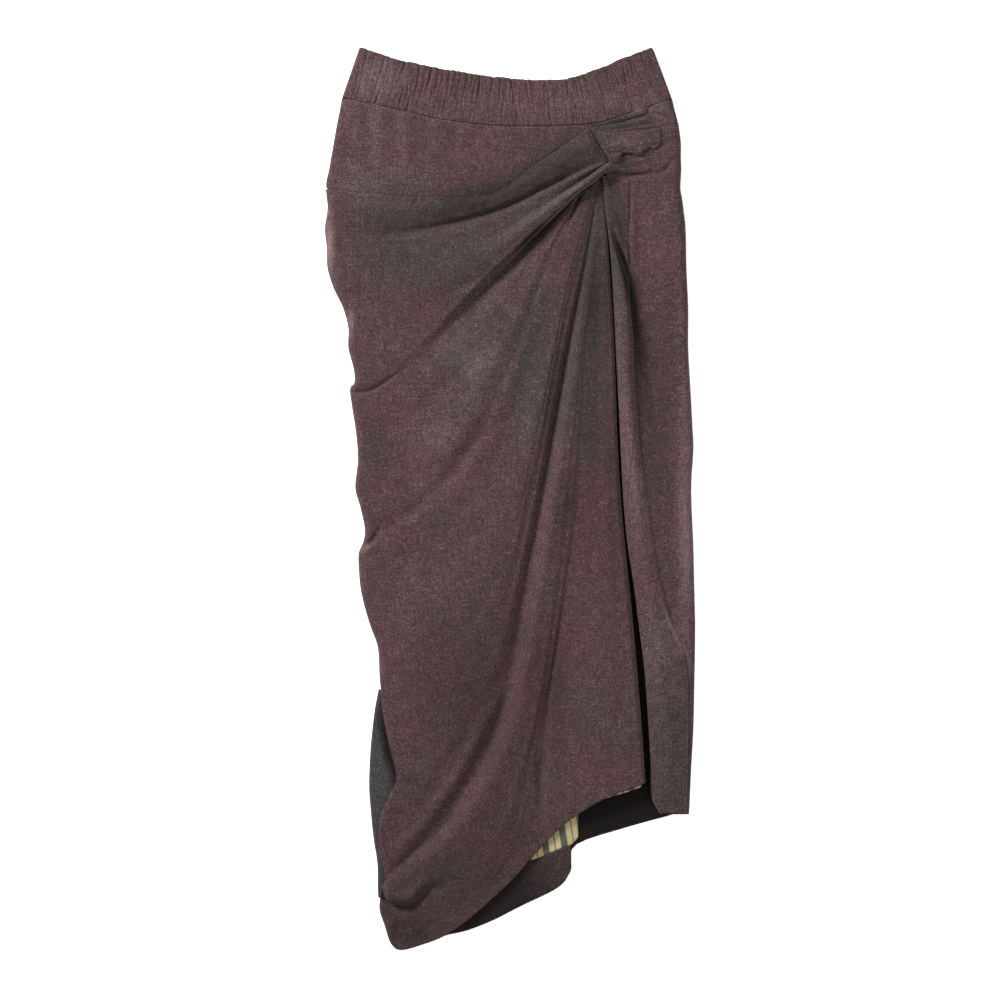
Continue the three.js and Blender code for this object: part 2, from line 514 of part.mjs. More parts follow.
// The wrap, a fan of folds that run from the knot to the left side and the hem.
function wrapDrape() {
  const betweenFolds = 2;
  const bodyRows = 18;
  const beforeRoll = 2;
  const rimSteps = [7, 3.5, 1.2, 0];
  const lines = FOLDS.map((fold) => {
    const end = outlineAt(fold.rim);
    return {
      ...fold,
      end,
      xAt: curveThrough(STATIONS, [...fold.x, end.x]),
      yAt: curveThrough(STATIONS, [...fold.y, end.y]),
      zAt: curveThrough(STATIONS, fold.z),
    };
  });
  const columns = (lines.length - 1) * betweenFolds + 1;
  const rims = [];
  const upper = Array.from({ length: columns }, (_, column) => {
    const i = Math.min(Math.floor(column / betweenFolds), lines.length - 2);
    const f = column / betweenFolds - i;
    const [from, to] = [lines[i], lines[i + 1]];
    const rim = outlineAt(lerp(from.rim, to.rim, f));
    rims.push(rim);
    const climb =
      smooth(f) * (1 - (from.crease + to.crease) / 2) +
      (from.crease / 2) * Math.sin((Math.PI * f) / 2) +
      (to.crease / 2) * (1 - Math.cos((Math.PI * f) / 2));
    const pull = { x: rim.x - lerp(from.end.x, to.end.x, f), y: rim.y - lerp(from.end.y, to.end.y, f) };
    const placeAt = (share) => ({
      x: lerp(from.xAt(share), to.xAt(share), f) + pull.x * share ** LATE_BEND,
      y: lerp(from.yAt(share), to.yAt(share), f) + pull.y * share ** LATE_BEND,
      z: lerp(from.zAt(share), to.zAt(share), climb),
    });
    const start = placeAt(0);
    const length = FOLD_SLACK * Math.hypot(rim.x - start.x, rim.y - start.y);
    const lastBody = 1 - (ROLL + beforeRoll) / length;
    const shares = [
      ...Array.from({ length: bodyRows + 1 }, (_, k) => (lastBody * k) / bodyRows),
      ...rimSteps.map((step) => 1 - step / length),
    ];
    return shares.map((share) => {
      const place = placeAt(share);
      const rolled = rolledHeight(place.z, rim.foot, (1 - share) * length, ROLL);
      return new THREE.Vector3(place.x, place.y, lerp(place.z, rolled, rim.roll));
    });
  });
  const turning = (i, j) => rims[i].roll * smooth(clamp((j - bodyRows) / rimSteps.length, 0, 1));
  return meshOf("wrap_drape", wallGeometry(upper, lowerFace(upper, CLOTH, turning)), PLUM);
}

// Points of a ring round the waistband: how far across each is, what part of the side turn it has made,
// 1 where it is in a pucker, and 1 or -1 as it is on the front or the back.
function bandRing() {
  const puckers = 2 * GATHERS;
  const sideSteps = 6;
  const run = Array.from({ length: puckers + 1 }, (_, k) => ({
    across: k / puckers,
    turn: 0,
    pucker: k % 2,
  }));
  const side = Array.from({ length: sideSteps - 1 }, (_, k) => ({
    across: 1,
    turn: (k + 1) / sideSteps,
    pucker: 0,
  }));
  const half = [...run, ...side];
  return [
    ...half.map((point) => ({ ...point, face: 1 })),
    ...half.map((point) => ({ ...point, across: 1 - point.across, face: -1 })),
  ];
}

// The waistband, one flattened tube of elastic in a gathered casing.
function waistband() {
  const seamAt = columnOf(BAND_SECTIONS, "across", "seam");
  const topAt = columnOf(BAND_SECTIONS, "across", "top");
  const rows = 2;
  const half = BAND_WALL + BAND_HOLLOW / 2;
  const ring = bandRing();
  const depthAt = (point, v) => {
    const beat = Math.sin(GATHER_BEATS.fast * point.across * GATHERS + GATHER_BEATS.rise * v);
    const swell = Math.cos(GATHER_BEATS.slow * point.across * GATHERS);
    return point.pucker * GATHER_DEPTH * (GATHER_MEAN + (1 - GATHER_MEAN) * beat * swell);
  };
  const pointAt = (point, v, inset, puckered) => {
    const left = lerp(BAND_SIDES.seamLeft, BAND_SIDES.topLeft, v) + half;
    const right = lerp(BAND_SIDES.seamRight, BAND_SIDES.topRight, v) - half;
    const angle = point.face * (Math.PI / 2 - Math.PI * point.turn);
    const radius = half - inset;
    return new THREE.Vector3(
      lerp(left, right, point.across) + point.face * radius * Math.cos(angle),
      lerp(seamAt(point.across) + SEAM, topAt(point.across), v),
      half + radius * Math.sin(angle) - (puckered ? point.face * depthAt(point, v) : 0),
    );
  };
  const heights = Array.from({ length: rows + 1 }, (_, row) => row / rows);
  const wallOf = (inset, puckered) =>
    ring.flatMap((point) => heights.map((v) => pointAt(point, v, inset, puckered)));
  const points = [...wallOf(0, true), ...wallOf(BAND_WALL, false)];
  const count = ring.length;
  const around = [...Array(count + 1).keys()];
  const outside = (row) => around.map((i) => (i % count) * (rows + 1) + row);
  const inside = (row) => outside(row).map((number) => count * (rows + 1) + number);
  const faces = [];
  for (let row = 0; row < rows; row += 1) {
    addStrip(faces, outside(row), outside(row + 1), false);
    addStrip(faces, inside(row), inside(row + 1), true);
  }
  addStrip(faces, outside(0), inside(0), true);
  addStrip(faces, outside(rows), inside(rows), false);
  return meshOf("waistband", closedGeometry(points, faces), PLUM);
}

// Shares across a turned side, closer together towards the outline.
function turnedShares(turn) {
  return [0, 0.12, 0.4, 1].map((share) => share * turn);
}

// The upper front, which hangs from the waistband and runs in under the wrap.
function frontYoke() {
  const seamAt = columnOf(BAND_SECTIONS, "across", "seam");
  const lowerAt = columnOf(YOKE_LOWER, "across", "y");
  const sides = [YOKE_LEFT, YOKE_RIGHT].map((table) => ({
    xAt: columnOf(table, "y", "x"),
    footAt: columnOf(table, "y", "foot"),
  }));
  const width = BAND_SIDES.seamRight - BAND_SIDES.seamLeft;
  const edge = turnedShares(YOKE_ROLL / width);
  const turned = edge[edge.length - 1];
  const steps = 24;
  const middle = Array.from({ length: steps - 1 }, (_, k) => lerp(turned, 1 - turned, (k + 1) / steps));
  const acrossShares = [...edge, ...middle, ...edge.map((share) => 1 - share).reverse()];
  const rows = 9;
  const upper = acrossShares.map((across) =>
    Array.from({ length: rows + 1 }, (_, row) => {
      const down = row / rows;
      const heightAt = (share) => lerp(seamAt(share) - SEAM, lowerAt(share), down);
      const [left, right] = sides.map((side, k) => ({
        x: side.xAt(heightAt(k)),
        foot: side.footAt(heightAt(k)),
      }));
      const x = lerp(left.x, right.x, across);
      const y = heightAt(across);
      const below = seamAt(across) - y;
      const hang = YOKE_FOLDS.reduce((sum, fold) => {
        const away = ((x - fold.x) / fold.width) ** 2 + (below / fold.reach) ** 2;
        return sum + fold.height * Math.exp(-away);
      }, 0);
      const settled = YOKE_BELOW + (YOKE_AT_SEAM - YOKE_BELOW) * Math.exp(-below / YOKE_SETTLE);
      const near = across < 0.5 ? left : right;
      const z = rolledHeight(settled + hang, near.foot, Math.abs(x - near.x), YOKE_ROLL);
      return new THREE.Vector3(x, y, z);
    }),
  );
  const last = acrossShares.length - 1;
  const turning = (i, j) => {
    const [side, column] = i < last / 2 ? [sides[0], 0] : [sides[1], last];
    const liesFlat = side.footAt(upper[column][j].y) > CLOTH;
    return liesFlat ? 0 : 1 - smooth(clamp(Math.min(i, last - i) / (edge.length - 1), 0, 1));
  };
  return meshOf("front_yoke", wallGeometry(upper, lowerFace(upper, CLOTH, turning)), PLUM);
}

// The back panel, flat on the surface from the waistband seam to its hem.
function backPanel() {
  const seamAt = columnOf(BAND_SECTIONS, "across", "seam");
  const columns = 20;
  const upper = Array.from({ length: columns + 1 }, (_, column) => {
    const across = column / columns;
    return BACK_SIDES.map((section, row) => {
      const y = row === 0 ? seamAt(across) - 2 * SEAM : section.y;
      return new THREE.Vector3(lerp(section.left, section.right, across), y, BACK_TOP);
    });
  });
  const lower = upper.map((column) => column.map((point) => new THREE.Vector3(point.x, point.y, 0)));
  return meshOf("back_panel", wallGeometry(upper, lower), MOSS);
}

// The side of the back that comes round to the front, with its outer edge turned down.
function sideReturn() {
  const shares = [0, 0.04, 0.12, 0.3, 0.6, 1];
  const upper = shares.map((share) =>
    SIDE_RETURN.map((section) => {
      const x = lerp(section.left, section.right, share);
      const z = rolledHeight(RETURN_TOP, SIDE_FOOT, x - section.left, RETURN_ROLL);
      return new THREE.Vector3(x, section.y, z);
    }),
  );
  const turning = (i) => 1 - smooth(clamp(i / 3, 0, 1));
  return meshOf("side_return", wallGeometry(upper, lowerFace(upper, CLOTH, turning)), MOSS);
}

// The right side panel, from the knot's height to the hem, with its outer side turned down.
function sidePanel() {
  const flatShares = [0, 0.25, 0.5, 0.75, 1];
  const edge = turnedShares(PANEL_ROLL).slice(0, -1).reverse();
  const upper = [...flatShares, ...edge].map((share, column) =>
    SIDE_PANEL.map((section, row) => {
      const inner = section.right - PANEL_ROLL;
      const x = column < flatShares.length ? lerp(section.left, inner, share) : section.right - share;
      const across = (x - section.left) / (section.right - section.left);
      const rise = SIDE_PANEL_TOP_RISE * smooth(clamp(across, 0, 1)) * (1 - smooth(clamp(row / 3, 0, 1)));
      const y = section.y + rise;
      const belly = section.belly * smooth(clamp(across * 1.6 - 0.4, 0, 1));
      const flat = section.lift + belly - troughDepth(SIDE_PANEL_TROUGHS, x, y);
      return new THREE.Vector3(x, y, rolledHeight(flat, SIDE_FOOT, section.right - x, PANEL_ROLL));
    }),
  );
  const turning = (i) => smooth(clamp((i - flatShares.length + 1) / edge.length, 0, 1));
  return meshOf("side_panel", wallGeometry(upper, lowerFace(upper, CLOTH, turning)), PLUM);
}

// The edge beside the slit, turned back over the side panel.
function turnedEdge() {
  const shares = [0, 0.15, 0.5, 1, 1.35, 1.7, 2];
  const upper = shares.map((share) =>
    TURNED_EDGE.map((section) => {
      const outer = share > 1;
      const f = outer ? share - 1 : share;
      const x = outer ? lerp(section.ridge, section.right, f) : lerp(section.left, section.ridge, f);
      const z = outer
        ? lerp(section.zRidge, section.zRight, smooth(f))
        : lerp(section.zLeft, section.zRidge, Math.sin((Math.PI * f) / 2));
      return new THREE.Vector3(x, section.y, z);
    }),
  );
  return meshOf("turned_edge", wallGeometry(upper, lowerFace(upper, CLOTH)), MOSS);
}

// A strip along the hem inside the back, from sections along that hem.
function hemStrip(name, table, from, to, thickness, color) {
  const xs = table.map((section) => section.x);
  const lowAt = columnOf(table, "x", "low");
  const riseAt = columnOf(table, "x", "rise");
  const shares = [0, 0.5, 1];
  const upper = shares.map((share) =>
    xs.map((x) => new THREE.Vector3(x, lowAt(x) + lerp(from, to, share), riseAt(x))),
  );
  return meshOf(name, wallGeometry(upper, lowerFace(upper, thickness)), color);
}

// The knot: a pinched roll of cloth that crosses over the ends of the folds.
function knot() {
  const stations = KNOT_PATH.map((_, k) => k / (KNOT_PATH.length - 1));
  const along = (name) => curveThrough(stations, KNOT_PATH.map((row) => row[name]));
  const [xAt, yAt, zAt, radiusAt] = ["x", "y", "z", "radius"].map(along);
  const centreAt = (s) => new THREE.Vector3(xAt(s), yAt(s), zAt(s));
  const rings = Array.from({ length: KNOT_RINGS + 1 }, (_, ring) => {
    const s = ring / KNOT_RINGS;
    const step = 0.01;
    const ahead = centreAt(Math.min(s + step, 1)).sub(centreAt(Math.max(s - step, 0))).normalize();
    const side = new THREE.Vector3(0, 0, 1).cross(ahead).normalize();
    const up = ahead.clone().cross(side);
    return Array.from({ length: KNOT_SIDES }, (_, k) => {
      const angle = (2 * Math.PI * k) / KNOT_SIDES;
      const creased = radiusAt(s) - KNOT_CREASE * (0.5 + 0.5 * Math.cos(3 * (angle + KNOT_TWIST * s)));
      return centreAt(s)
        .addScaledVector(side, creased * Math.cos(angle))
        .addScaledVector(up, KNOT_FLATNESS * creased * Math.sin(angle));
    });
  });
  const points = [...rings.flat(), centreAt(0), centreAt(1)];
  const number = (ring, k) => ring * KNOT_SIDES + (k % KNOT_SIDES);
  const around = [...Array(KNOT_SIDES + 1).keys()];
  const faces = [];
  for (let ring = 0; ring < KNOT_RINGS; ring += 1) {
    addStrip(faces, around.map((k) => number(ring, k)), around.map((k) => number(ring + 1, k)), false);
  }
  const ends = [points.length - 2, points.length - 1];
  for (let k = 0; k < KNOT_SIDES; k += 1) {
    faces.push(ends[0], number(0, k + 1), number(0, k));
    faces.push(ends[1], number(KNOT_RINGS, k), number(KNOT_RINGS, k + 1));
  }
  return meshOf("knot", closedGeometry(points, faces), MOSS);
}

// The tied end, which comes out of the knot and lies over the right hip.
function tieEnd() {
  const rows = 5;
  const upper = TIE_END.map((section) =>
    Array.from({ length: rows + 1 }, (_, row) => {
      const share = row / rows;
      const crown = TIE_CROWN * Math.sin(Math.PI * share) - TIE_SKEW * Math.sin(2 * Math.PI * share);
      return new THREE.Vector3(section.x, lerp(section.low, section.high, share), section.lift + crown);
    }),
  );
  return meshOf("tie_end", wallGeometry(upper, lowerFace(upper, TIE_WALL)), MOSS);
}

const LINED_HEM = FAR_HEM.filter((section) => section.x < LINING_END);
const LINING_FROM = FACING_WIDTH + SEAM;
const LINING_TO = FACING_WIDTH + LINING_DEPTH;

const skirt = new THREE.Group();
skirt.add(
  waistband(),
  frontYoke(),
  backPanel(),
  sideReturn(),
  sidePanel(),
  turnedEdge(),
  wrapDrape(),
  knot(),
  tieEnd(),
  hemStrip("near_hem_facing", NEAR_HEM, FACING_FROM, FACING_WIDTH, FACING, PLUM),
  hemStrip("far_hem_facing", FAR_HEM, FACING_FROM, FACING_WIDTH, FACING, PLUM),
  hemStrip("near_lining", NEAR_HEM, LINING_FROM, LINING_TO, LINING, STRAW),
  hemStrip("far_lining", LINED_HEM, LINING_FROM, LINING_TO, LINING, STRAW),
);

export default skirt;
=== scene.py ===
"""A long draped wrap skirt laid flat: gathered at the waist, knotted at the hip and open at a slit.

Sizes are in millimetres in the skirt's own frame: +X to the right, +Y towards the waist and +Z up.
"""
import logging
import math
import random
from dataclasses import dataclass
from enum import Enum
from typing import Callable, Sequence

import bmesh
import bpy
import numpy as np
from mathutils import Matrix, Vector


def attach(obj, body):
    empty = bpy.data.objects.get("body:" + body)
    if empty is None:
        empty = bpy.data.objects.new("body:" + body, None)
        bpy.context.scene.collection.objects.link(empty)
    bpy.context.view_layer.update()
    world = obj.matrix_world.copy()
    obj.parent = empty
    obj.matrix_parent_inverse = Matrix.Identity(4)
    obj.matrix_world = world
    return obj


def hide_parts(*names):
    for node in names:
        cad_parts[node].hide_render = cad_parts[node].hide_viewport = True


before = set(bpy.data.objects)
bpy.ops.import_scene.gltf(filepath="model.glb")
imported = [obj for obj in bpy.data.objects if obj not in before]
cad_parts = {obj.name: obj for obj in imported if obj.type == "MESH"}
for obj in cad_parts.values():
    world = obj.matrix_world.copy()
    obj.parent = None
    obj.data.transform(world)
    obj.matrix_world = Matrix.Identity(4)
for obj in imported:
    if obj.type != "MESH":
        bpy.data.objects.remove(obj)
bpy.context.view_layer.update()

log = logging.getLogger("wrap_skirt")

Array = np.ndarray
Surface = tuple[Array, Array, Array]
Relief = Callable[[Array, Array], Array]
Rows = tuple[tuple[float, ...], ...]
Tone = tuple[int, int, int]
Paint = tuple[float, float, float, float]

MM = 0.001
CLOTH = 1.6
LINING = 0.9
FACING = 0.9
# How high a side that is turned down ends, and how far a piece keeps clear of its seam and of the floor
FOOT = 0.4
SEAM_GAP = 0.05
FLOOR_GAP = 0.02
# A crease's path: fine steps to each point, the share at each end where it no longer fades, and how it fades
PATH_STEPS = 6
PATH_END = 0.04
PATH_FADE = 0.7
# Points of a closed sheet that lie nearer than this, in metres, are one
WELD = 1e-6
BODY = "root"


def smooth(share: Array) -> Array:
    """Ease a share from 0 to 1 at both ends."""
    return share * share * (3 - 2 * share)


def lerp(first: Array, second: Array, share: Array) -> Array:
    """Mix two values by a share from 0 to 1."""
    return first + (second - first) * share


def bell(distance: Array, width: float) -> Array:
    """Fall from 1 at no distance to nearly 0 past about twice a width."""
    return np.exp(-((distance / width) ** 2))


class Curve:
    """A smooth curve through values at uneven stations."""

    def __init__(self, stations: Sequence[float], values: Sequence[float]) -> None:
        """Keep the stations in order with a slope at each.

        Args:
            stations: Where the values are known, in any order.
            values: The value at each station.
        """
        order = np.argsort(stations)
        self.stations = np.asarray(stations, float)[order]
        self.values = np.asarray(values, float)[order]
        index = np.arange(len(self.stations))
        before = np.maximum(index - 1, 0)
        after = np.minimum(index + 1, len(index) - 1)
        rise = self.values[after] - self.values[before]
        self.slopes = rise / (self.stations[after] - self.stations[before])

    def __call__(self, station: Array) -> Array:
        """Read the curve.

        Args:
            station: One station or an array of them.

        Returns:
            The value at each, held level past both ends.
        """
        station = np.asarray(station, float)
        i = np.clip(np.searchsorted(self.stations, station, side="right") - 1, 0, len(self.stations) - 2)
        span = self.stations[i + 1] - self.stations[i]
        share = np.clip((station - self.stations[i]) / span, 0, 1)
        bend = (1 - share) * self.slopes[i] - share * self.slopes[i + 1]
        return lerp(self.values[i], self.values[i + 1], smooth(share)) + span * share * (1 - share) * bend


def columns_of(table: Sequence[tuple[float, ...]]) -> list[Curve]:
    """Make a curve of each later column of a table against its first column."""
    first, *rest = zip(*table)
    return [Curve(first, column) for column in rest]


@dataclass(frozen=True)
class Crease:
    """A soft line pressed into the cloth, or raised from it where its depth is negative."""

    name: str
    path: tuple[tuple[float, float], ...]
    depth: float
    width: float
    steep: float = 1.0

    def relief(self, x: Array, y: Array) -> Array:
        """Find how much the crease changes the cloth's height.

        Args:
            x: Places across, in millimetres.
            y: Places along, in millimetres.

        Returns:
            The change of height at each place, in millimetres. The side on the left of the path is
            narrower than the other by the factor steep.
        """
        points = np.array(self.path, float)
        marks = np.linspace(0, 1, len(points))
        fine = np.linspace(0, 1, PATH_STEPS * len(points))
        px, py = Curve(marks, points[:, 0])(fine), Curve(marks, points[:, 1])(fine)
        nearest = np.full(x.shape, 1e9)
        share = np.zeros(x.shape)
        side = np.zeros(x.shape)
        for k in range(len(fine) - 1):
            ax, ay = px[k], py[k]
            dx, dy = px[k + 1] - ax, py[k + 1] - ay
            along = np.clip(((x - ax) * dx + (y - ay) * dy) / (dx * dx + dy * dy), 0, 1)
            distance = np.hypot(x - ax - along * dx, y - ay - along * dy)
            closer = distance < nearest
            nearest = np.where(closer, distance, nearest)
            share = np.where(closer, lerp(fine[k], fine[k + 1], along), share)
            side = np.where(closer, dx * (y - ay) - dy * (x - ax), side)
        width = np.where(side > 0, self.width / self.steep, self.width)
        fade = np.sin(math.pi * np.clip(share, PATH_END, 1 - PATH_END)) ** PATH_FADE
        return -self.depth * fade * np.exp(-((nearest / width) ** 2))


def relief_of(creases: Sequence[Crease]) -> Relief:
    """Add the relief of several creases into one function of place."""

    def total(x: Array, y: Array) -> Array:
        """Sum the change of height of every crease at each place."""
        change = np.zeros(np.shape(x))
        for crease in creases:
            change = change + crease.relief(x, y)
        return change

    return total


def rolled(height: Array, foot: Array, distance: Array, width: float) -> Array:
    """Turn a side down to its foot in a quarter of an ellipse.

    Args:
        height: The cloth's height well inside.
        foot: The height where the side ends.
        distance: How far each place lies inside the outline.
        width: How far the turn takes.

    Returns:
        The height at each place.
    """
    share = np.clip(distance / width, 0, 1)
    return foot + (height - foot) * np.sqrt(1 - (1 - share) ** 2)


class Channel(Enum):
    """What varies over the cloth: its dyeing, and painted shade and highlights."""

    MOSS = "moss"
    LIGHT = "light"


@dataclass(frozen=True)
class DyeAndShadePatch:
    """A soft oval where the cloth is dyed mossier or lighter than the plum round it; some ovals paint shade
    or a highlight.
    """

    x: float
    y: float
    across: float
    along: float
    turn: float
    moss: float
    light: float = 0.0

    def strength(self, x: Array, y: Array) -> Array:
        """Find how strongly the patch shows at each place, from 0 to 1."""
        c, s = math.cos(math.radians(self.turn)), math.sin(math.radians(self.turn))
        u = ((x - self.x) * c + (y - self.y) * s) / self.across
        v = ((y - self.y) * c - (x - self.x) * s) / self.along
        return np.exp(-(u * u + v * v))


# Patches where the cloth is dyed mossier or lighter, and patches of painted shade and highlights: place
# across and along, half sizes, turn, moss and light
DYE_AND_SHADE_TABLE = (
    # the waistband and the yoke
    (-155, 487, 30, 24, 0, 0.1, 0.75),
    (-188, 440, 14, 24, 0, 0.5, 0.15),
    (-150, 420, 34, 40, 0, 0.35, 0.25),
    (50, 456, 130, 22, 0, 0.0, 0.3),
    (-160, 368, 60, 18, 0, 0.45, 0.25),
    (-60, 405, 40, 26, 0, -0.3, 0.05),
    (134, 433, 26, 8, 6, 1.3, -0.4),
    (147, 449, 5, 5, 0, 0.1, 0.6),
    (170, 450, 8, 11, 0, 1.0, 0.6),
    # the tied end, the knot and the band that runs out of it
    (100, 411, 10, 16, 0, 1.2, -0.1),
    (164, 416, 11, 12, 0, 1.0, 0.0),
    (132, 411, 20, 9, 0, 0.25, 0.5),
    (133, 385, 18, 9, 0, 1.1, -0.15),
    (60, 392, 42, 20, 27, 1.1, -0.65),
    (-30, 347, 80, 18, 20, 1.0, -0.95),
    (60, 352, 70, 16, 36, 1.1, 0.05),
    (-110, 335, 60, 22, 8, 0.45, -0.3),
    # the hip
    # painted shade down the hip crease
    (24, 302, 3.2, 26, -46.5, 0.1, -1.5),
    (-60, 285, 90, 36, 24, 0.75, -0.25),
    (-150, 290, 40, 60, 0, 0.5, -0.2),
    # painted highlights on the rolled left edge and at its second notch
    (-208, 292, 5, 36, 0, 0.4, 1.4),
    (-183, 208, 4, 16, 0, 0.4, 1.2),
    (-166, -56, 3, 8, -30, 0.2, 1.0),
    (-140, 200, 50, 40, 30, -0.1, 0.1),
    (60, 300, 16, 40, -10, -0.5, -0.05),
    (20, 240, 22, 46, -28, -0.2, -0.05),
    # the middle
    (-45, 190, 60, 30, 48, 0.9, 0.0),
    (-42, 158, 30, 26, -20, 0.6, 0.5),
    (-50, 106, 16, 14, 30, 0.8, 0.3),
    (-76, 74, 20, 13, 30, -0.2, 0.6),
    (-100, 20, 20, 15, 30, -0.1, 0.4),
    (18, 76, 15, 22, -15, 0.7, 0.35),
    (30, 126, 11, 34, -15, 0.7, 0.35),
    (-150, 60, 16, 30, 0, 0.1, -0.25),
    (-90, -100, 60, 40, 20, -0.2, 0.15),
    (-40, 10, 40, 34, 20, -0.1, 0.1),
    (28, 200, 22, 60, -14, 0.9, -0.2),
    (22, 120, 28, 60, -10, 0.6, -0.25),
    # dyed mossier, and darkened with painted shade along the hem creases
    (96, 235, 20, 96, -3, 1.3, -0.75),
    (62, -12, 12, 40, -8, 0.2, -0.5),
    (96, 90, 16, 60, -4, 0.8, -0.3),
    (70, 130, 14, 60, -4, 0.9, -0.05),
    (-100, 70, 36, 50, 20, 0.0, 0.15),
    (-20, 40, 50, 60, 0, -0.1, -0.05),
    (105, 0, 24, 90, 0, -0.2, -0.3),
    (-130, -150, 30, 70, 0, -0.2, 0.1),
    # the lower third
    (-40, -230, 60, 90, 12, -0.2, -0.45),
    (40, -200, 26, 70, 10, -0.2, -0.35),
    (-100, -340, 70, 70, 0, -0.1, -0.05),
    (-110, -450, 70, 60, 0, 0.2, -0.45),
    (-20, -410, 60, 50, 40, 0.1, -0.3),
    (-120, -500, 40, 22, 0, 0.4, -0.5),
    # the turned edge and the side
    (124, 200, 8, 90, 2, 0.6, 0.15),
    (142, 20, 12, 110, 8, 0.0, 0.7),
    # painted shade in the wedge beside the turned edge, and its painted shadow on the side panel
    (131, 262, 4.5, 30, 12.7, 0.2, -2.3),
    (143, 212, 6, 40, 4, 0.2, -0.9),
    (152, 170, 8, 60, 6, 0.1, -0.5),
    (172, -170, 22, 60, 0, 0.8, 0.5),
    (186, -310, 34, 80, 0, 1.3, 0.0),
    (172, 130, 22, 90, 0, -0.1, -0.35),
    (176, 40, 20, 50, 0, 0.3, -0.1),
    # painted highlights along the side's rolled edge and along the turned edge's rim
    (204, 10, 12, 150, 0, 0.1, 0.9),
    (204, -60, 9, 70, 0, 0.0, 0.4),
    (190, -155, 2.4, 34, 25.6, 0.0, 1.2),
    (170, 290, 26, 60, 0, -0.5, 0.1),
)
DYE_AND_SHADE = tuple(DyeAndShadePatch(*row) for row in DYE_AND_SHADE_TABLE)


def dye_and_shade(patches: Sequence[DyeAndShadePatch], channel: Channel, x: Array, y: Array) -> Array:
    """Sum the patches of dyeing, painted shade and painted highlights in one channel.

    Args:
        patches: The patches.
        channel: Which quantity to sum.
        x: Places across, in millimetres.
        y: Places along, in millimetres.

    Returns:
        The amount at each place.
    """
    total = np.zeros(np.shape(x))
    for patch in patches:
        amount = patch.moss if channel is Channel.MOSS else patch.light
        total = total + amount * patch.strength(x, y)
    return total


class Socket:
    """A node's output that takes part in sums, so that shader maths reads as an expression."""

    def __init__(self, nodes: "Nodes", link: bpy.types.NodeSocket) -> None:
        """Wrap an output of a material's node."""
        self.nodes = nodes
        self.link = link

    def _with(self, operation: str, other: "Socket | float", swap: bool = False) -> "Socket":
        """Add a Math node on this value and another, in either order."""
        pair = (other, self) if swap else (self, other)
        return self.nodes.add("ShaderNodeMath", {"operation": operation}, dict(enumerate(pair)))

    def __add__(self, other: "Socket | float") -> "Socket":
        """Add another value."""
        return self._with("ADD", other)

    def __sub__(self, other: "Socket | float") -> "Socket":
        """Take another value away."""
        return self._with("SUBTRACT", other)

    def __rsub__(self, other: float) -> "Socket":
        """Take this value away from a number."""
        return self._with("SUBTRACT", other, swap=True)

    def __mul__(self, other: "Socket | float") -> "Socket":
        """Multiply by another value."""
        return self._with("MULTIPLY", other)

    __radd__ = __add__
    __rmul__ = __mul__

    def clamped(self) -> "Socket":
        """Hold the value between 0 and 1."""
        return self.nodes.add("ShaderNodeClamp", {}, {"Value": self})


class Nodes:
    """A material's node tree, with one method that adds any node."""

    def __init__(self, name: str) -> None:
        """Start an empty material.

        Args:
            name: The material's name.
        """
        self.material = bpy.data.materials.new(name)
        self.material.use_nodes = True
        self.tree = self.material.node_tree
        self.tree.nodes.clear()

    def add(
        self,
        kind: str,
        settings: dict[str, object],
        inputs: dict[int | str, object],
        output: int | str = 0,
    ) -> Socket:
        """Add a node.

        Args:
            kind: The node's type.
            settings: Properties that are set before the inputs.
            inputs: Values or sockets for the node's inputs, by name or number.
            output: Which output to return.

        Returns:
            The chosen output.
        """
        node = self.tree.nodes.new(kind)
        for key, value in settings.items():
            setattr(node, key, value)
        for key, value in inputs.items():
            if isinstance(value, Socket):
                self.tree.links.new(value.link, node.inputs[key])
            else:
                node.inputs[key].default_value = value
        return Socket(self, node.outputs[output])

    def mix(self, share: Socket, first: Sequence[float] | Socket, second: Sequence[float] | Socket) -> Socket:
        """Mix two colours by a share from 0 to 1."""
        settings = {"data_type": "RGBA", "clamp_factor": True}
        return self.add("ShaderNodeMix", settings, {0: share, 6: first, 7: second}, 2)

    def noise(self, place: Socket, size_mm: float, detail: float = 2.0, roughness: float = 0.5) -> Socket:
        """Add noise whose lumps are about size_mm across."""
        inputs = {"Vector": place, "Scale": 1 / (size_mm * MM), "Detail": detail, "Roughness": roughness}
        return self.add("ShaderNodeTexNoise", {}, inputs)

    def spread(self, value: Socket, low: float, high: float) -> Socket:
        """Stretch the part of a value between low and high over 0 to 1."""
        inputs = {"Value": value, "From Min": low, "From Max": high}
        return self.add("ShaderNodeMapRange", {"clamp": True}, inputs)

    def finish(self, inputs: dict[int | str, object]) -> bpy.types.Material:
        """Join a shader with these inputs to the material's output.

        Args:
            inputs: Values or sockets for the shader, by name.

        Returns:
            The finished material.
        """
        shader = self.add("ShaderNodeBsdfPrincipled", {}, inputs)
        output = self.tree.nodes.new("ShaderNodeOutputMaterial")
        self.tree.links.new(shader.link, output.inputs["Surface"])
        return self.material


def colour(red: int, green: int, blue: int) -> Paint:
    """Turn a colour of 0 to 255 as seen on a screen into the renderer's own values."""
    shares = [part / 255 for part in (red, green, blue)]
    linear = [share / 12.92 if share <= 0.04 else ((share + 0.055) / 1.055) ** 2.4 for share in shares]
    return (*linear, 1.0)


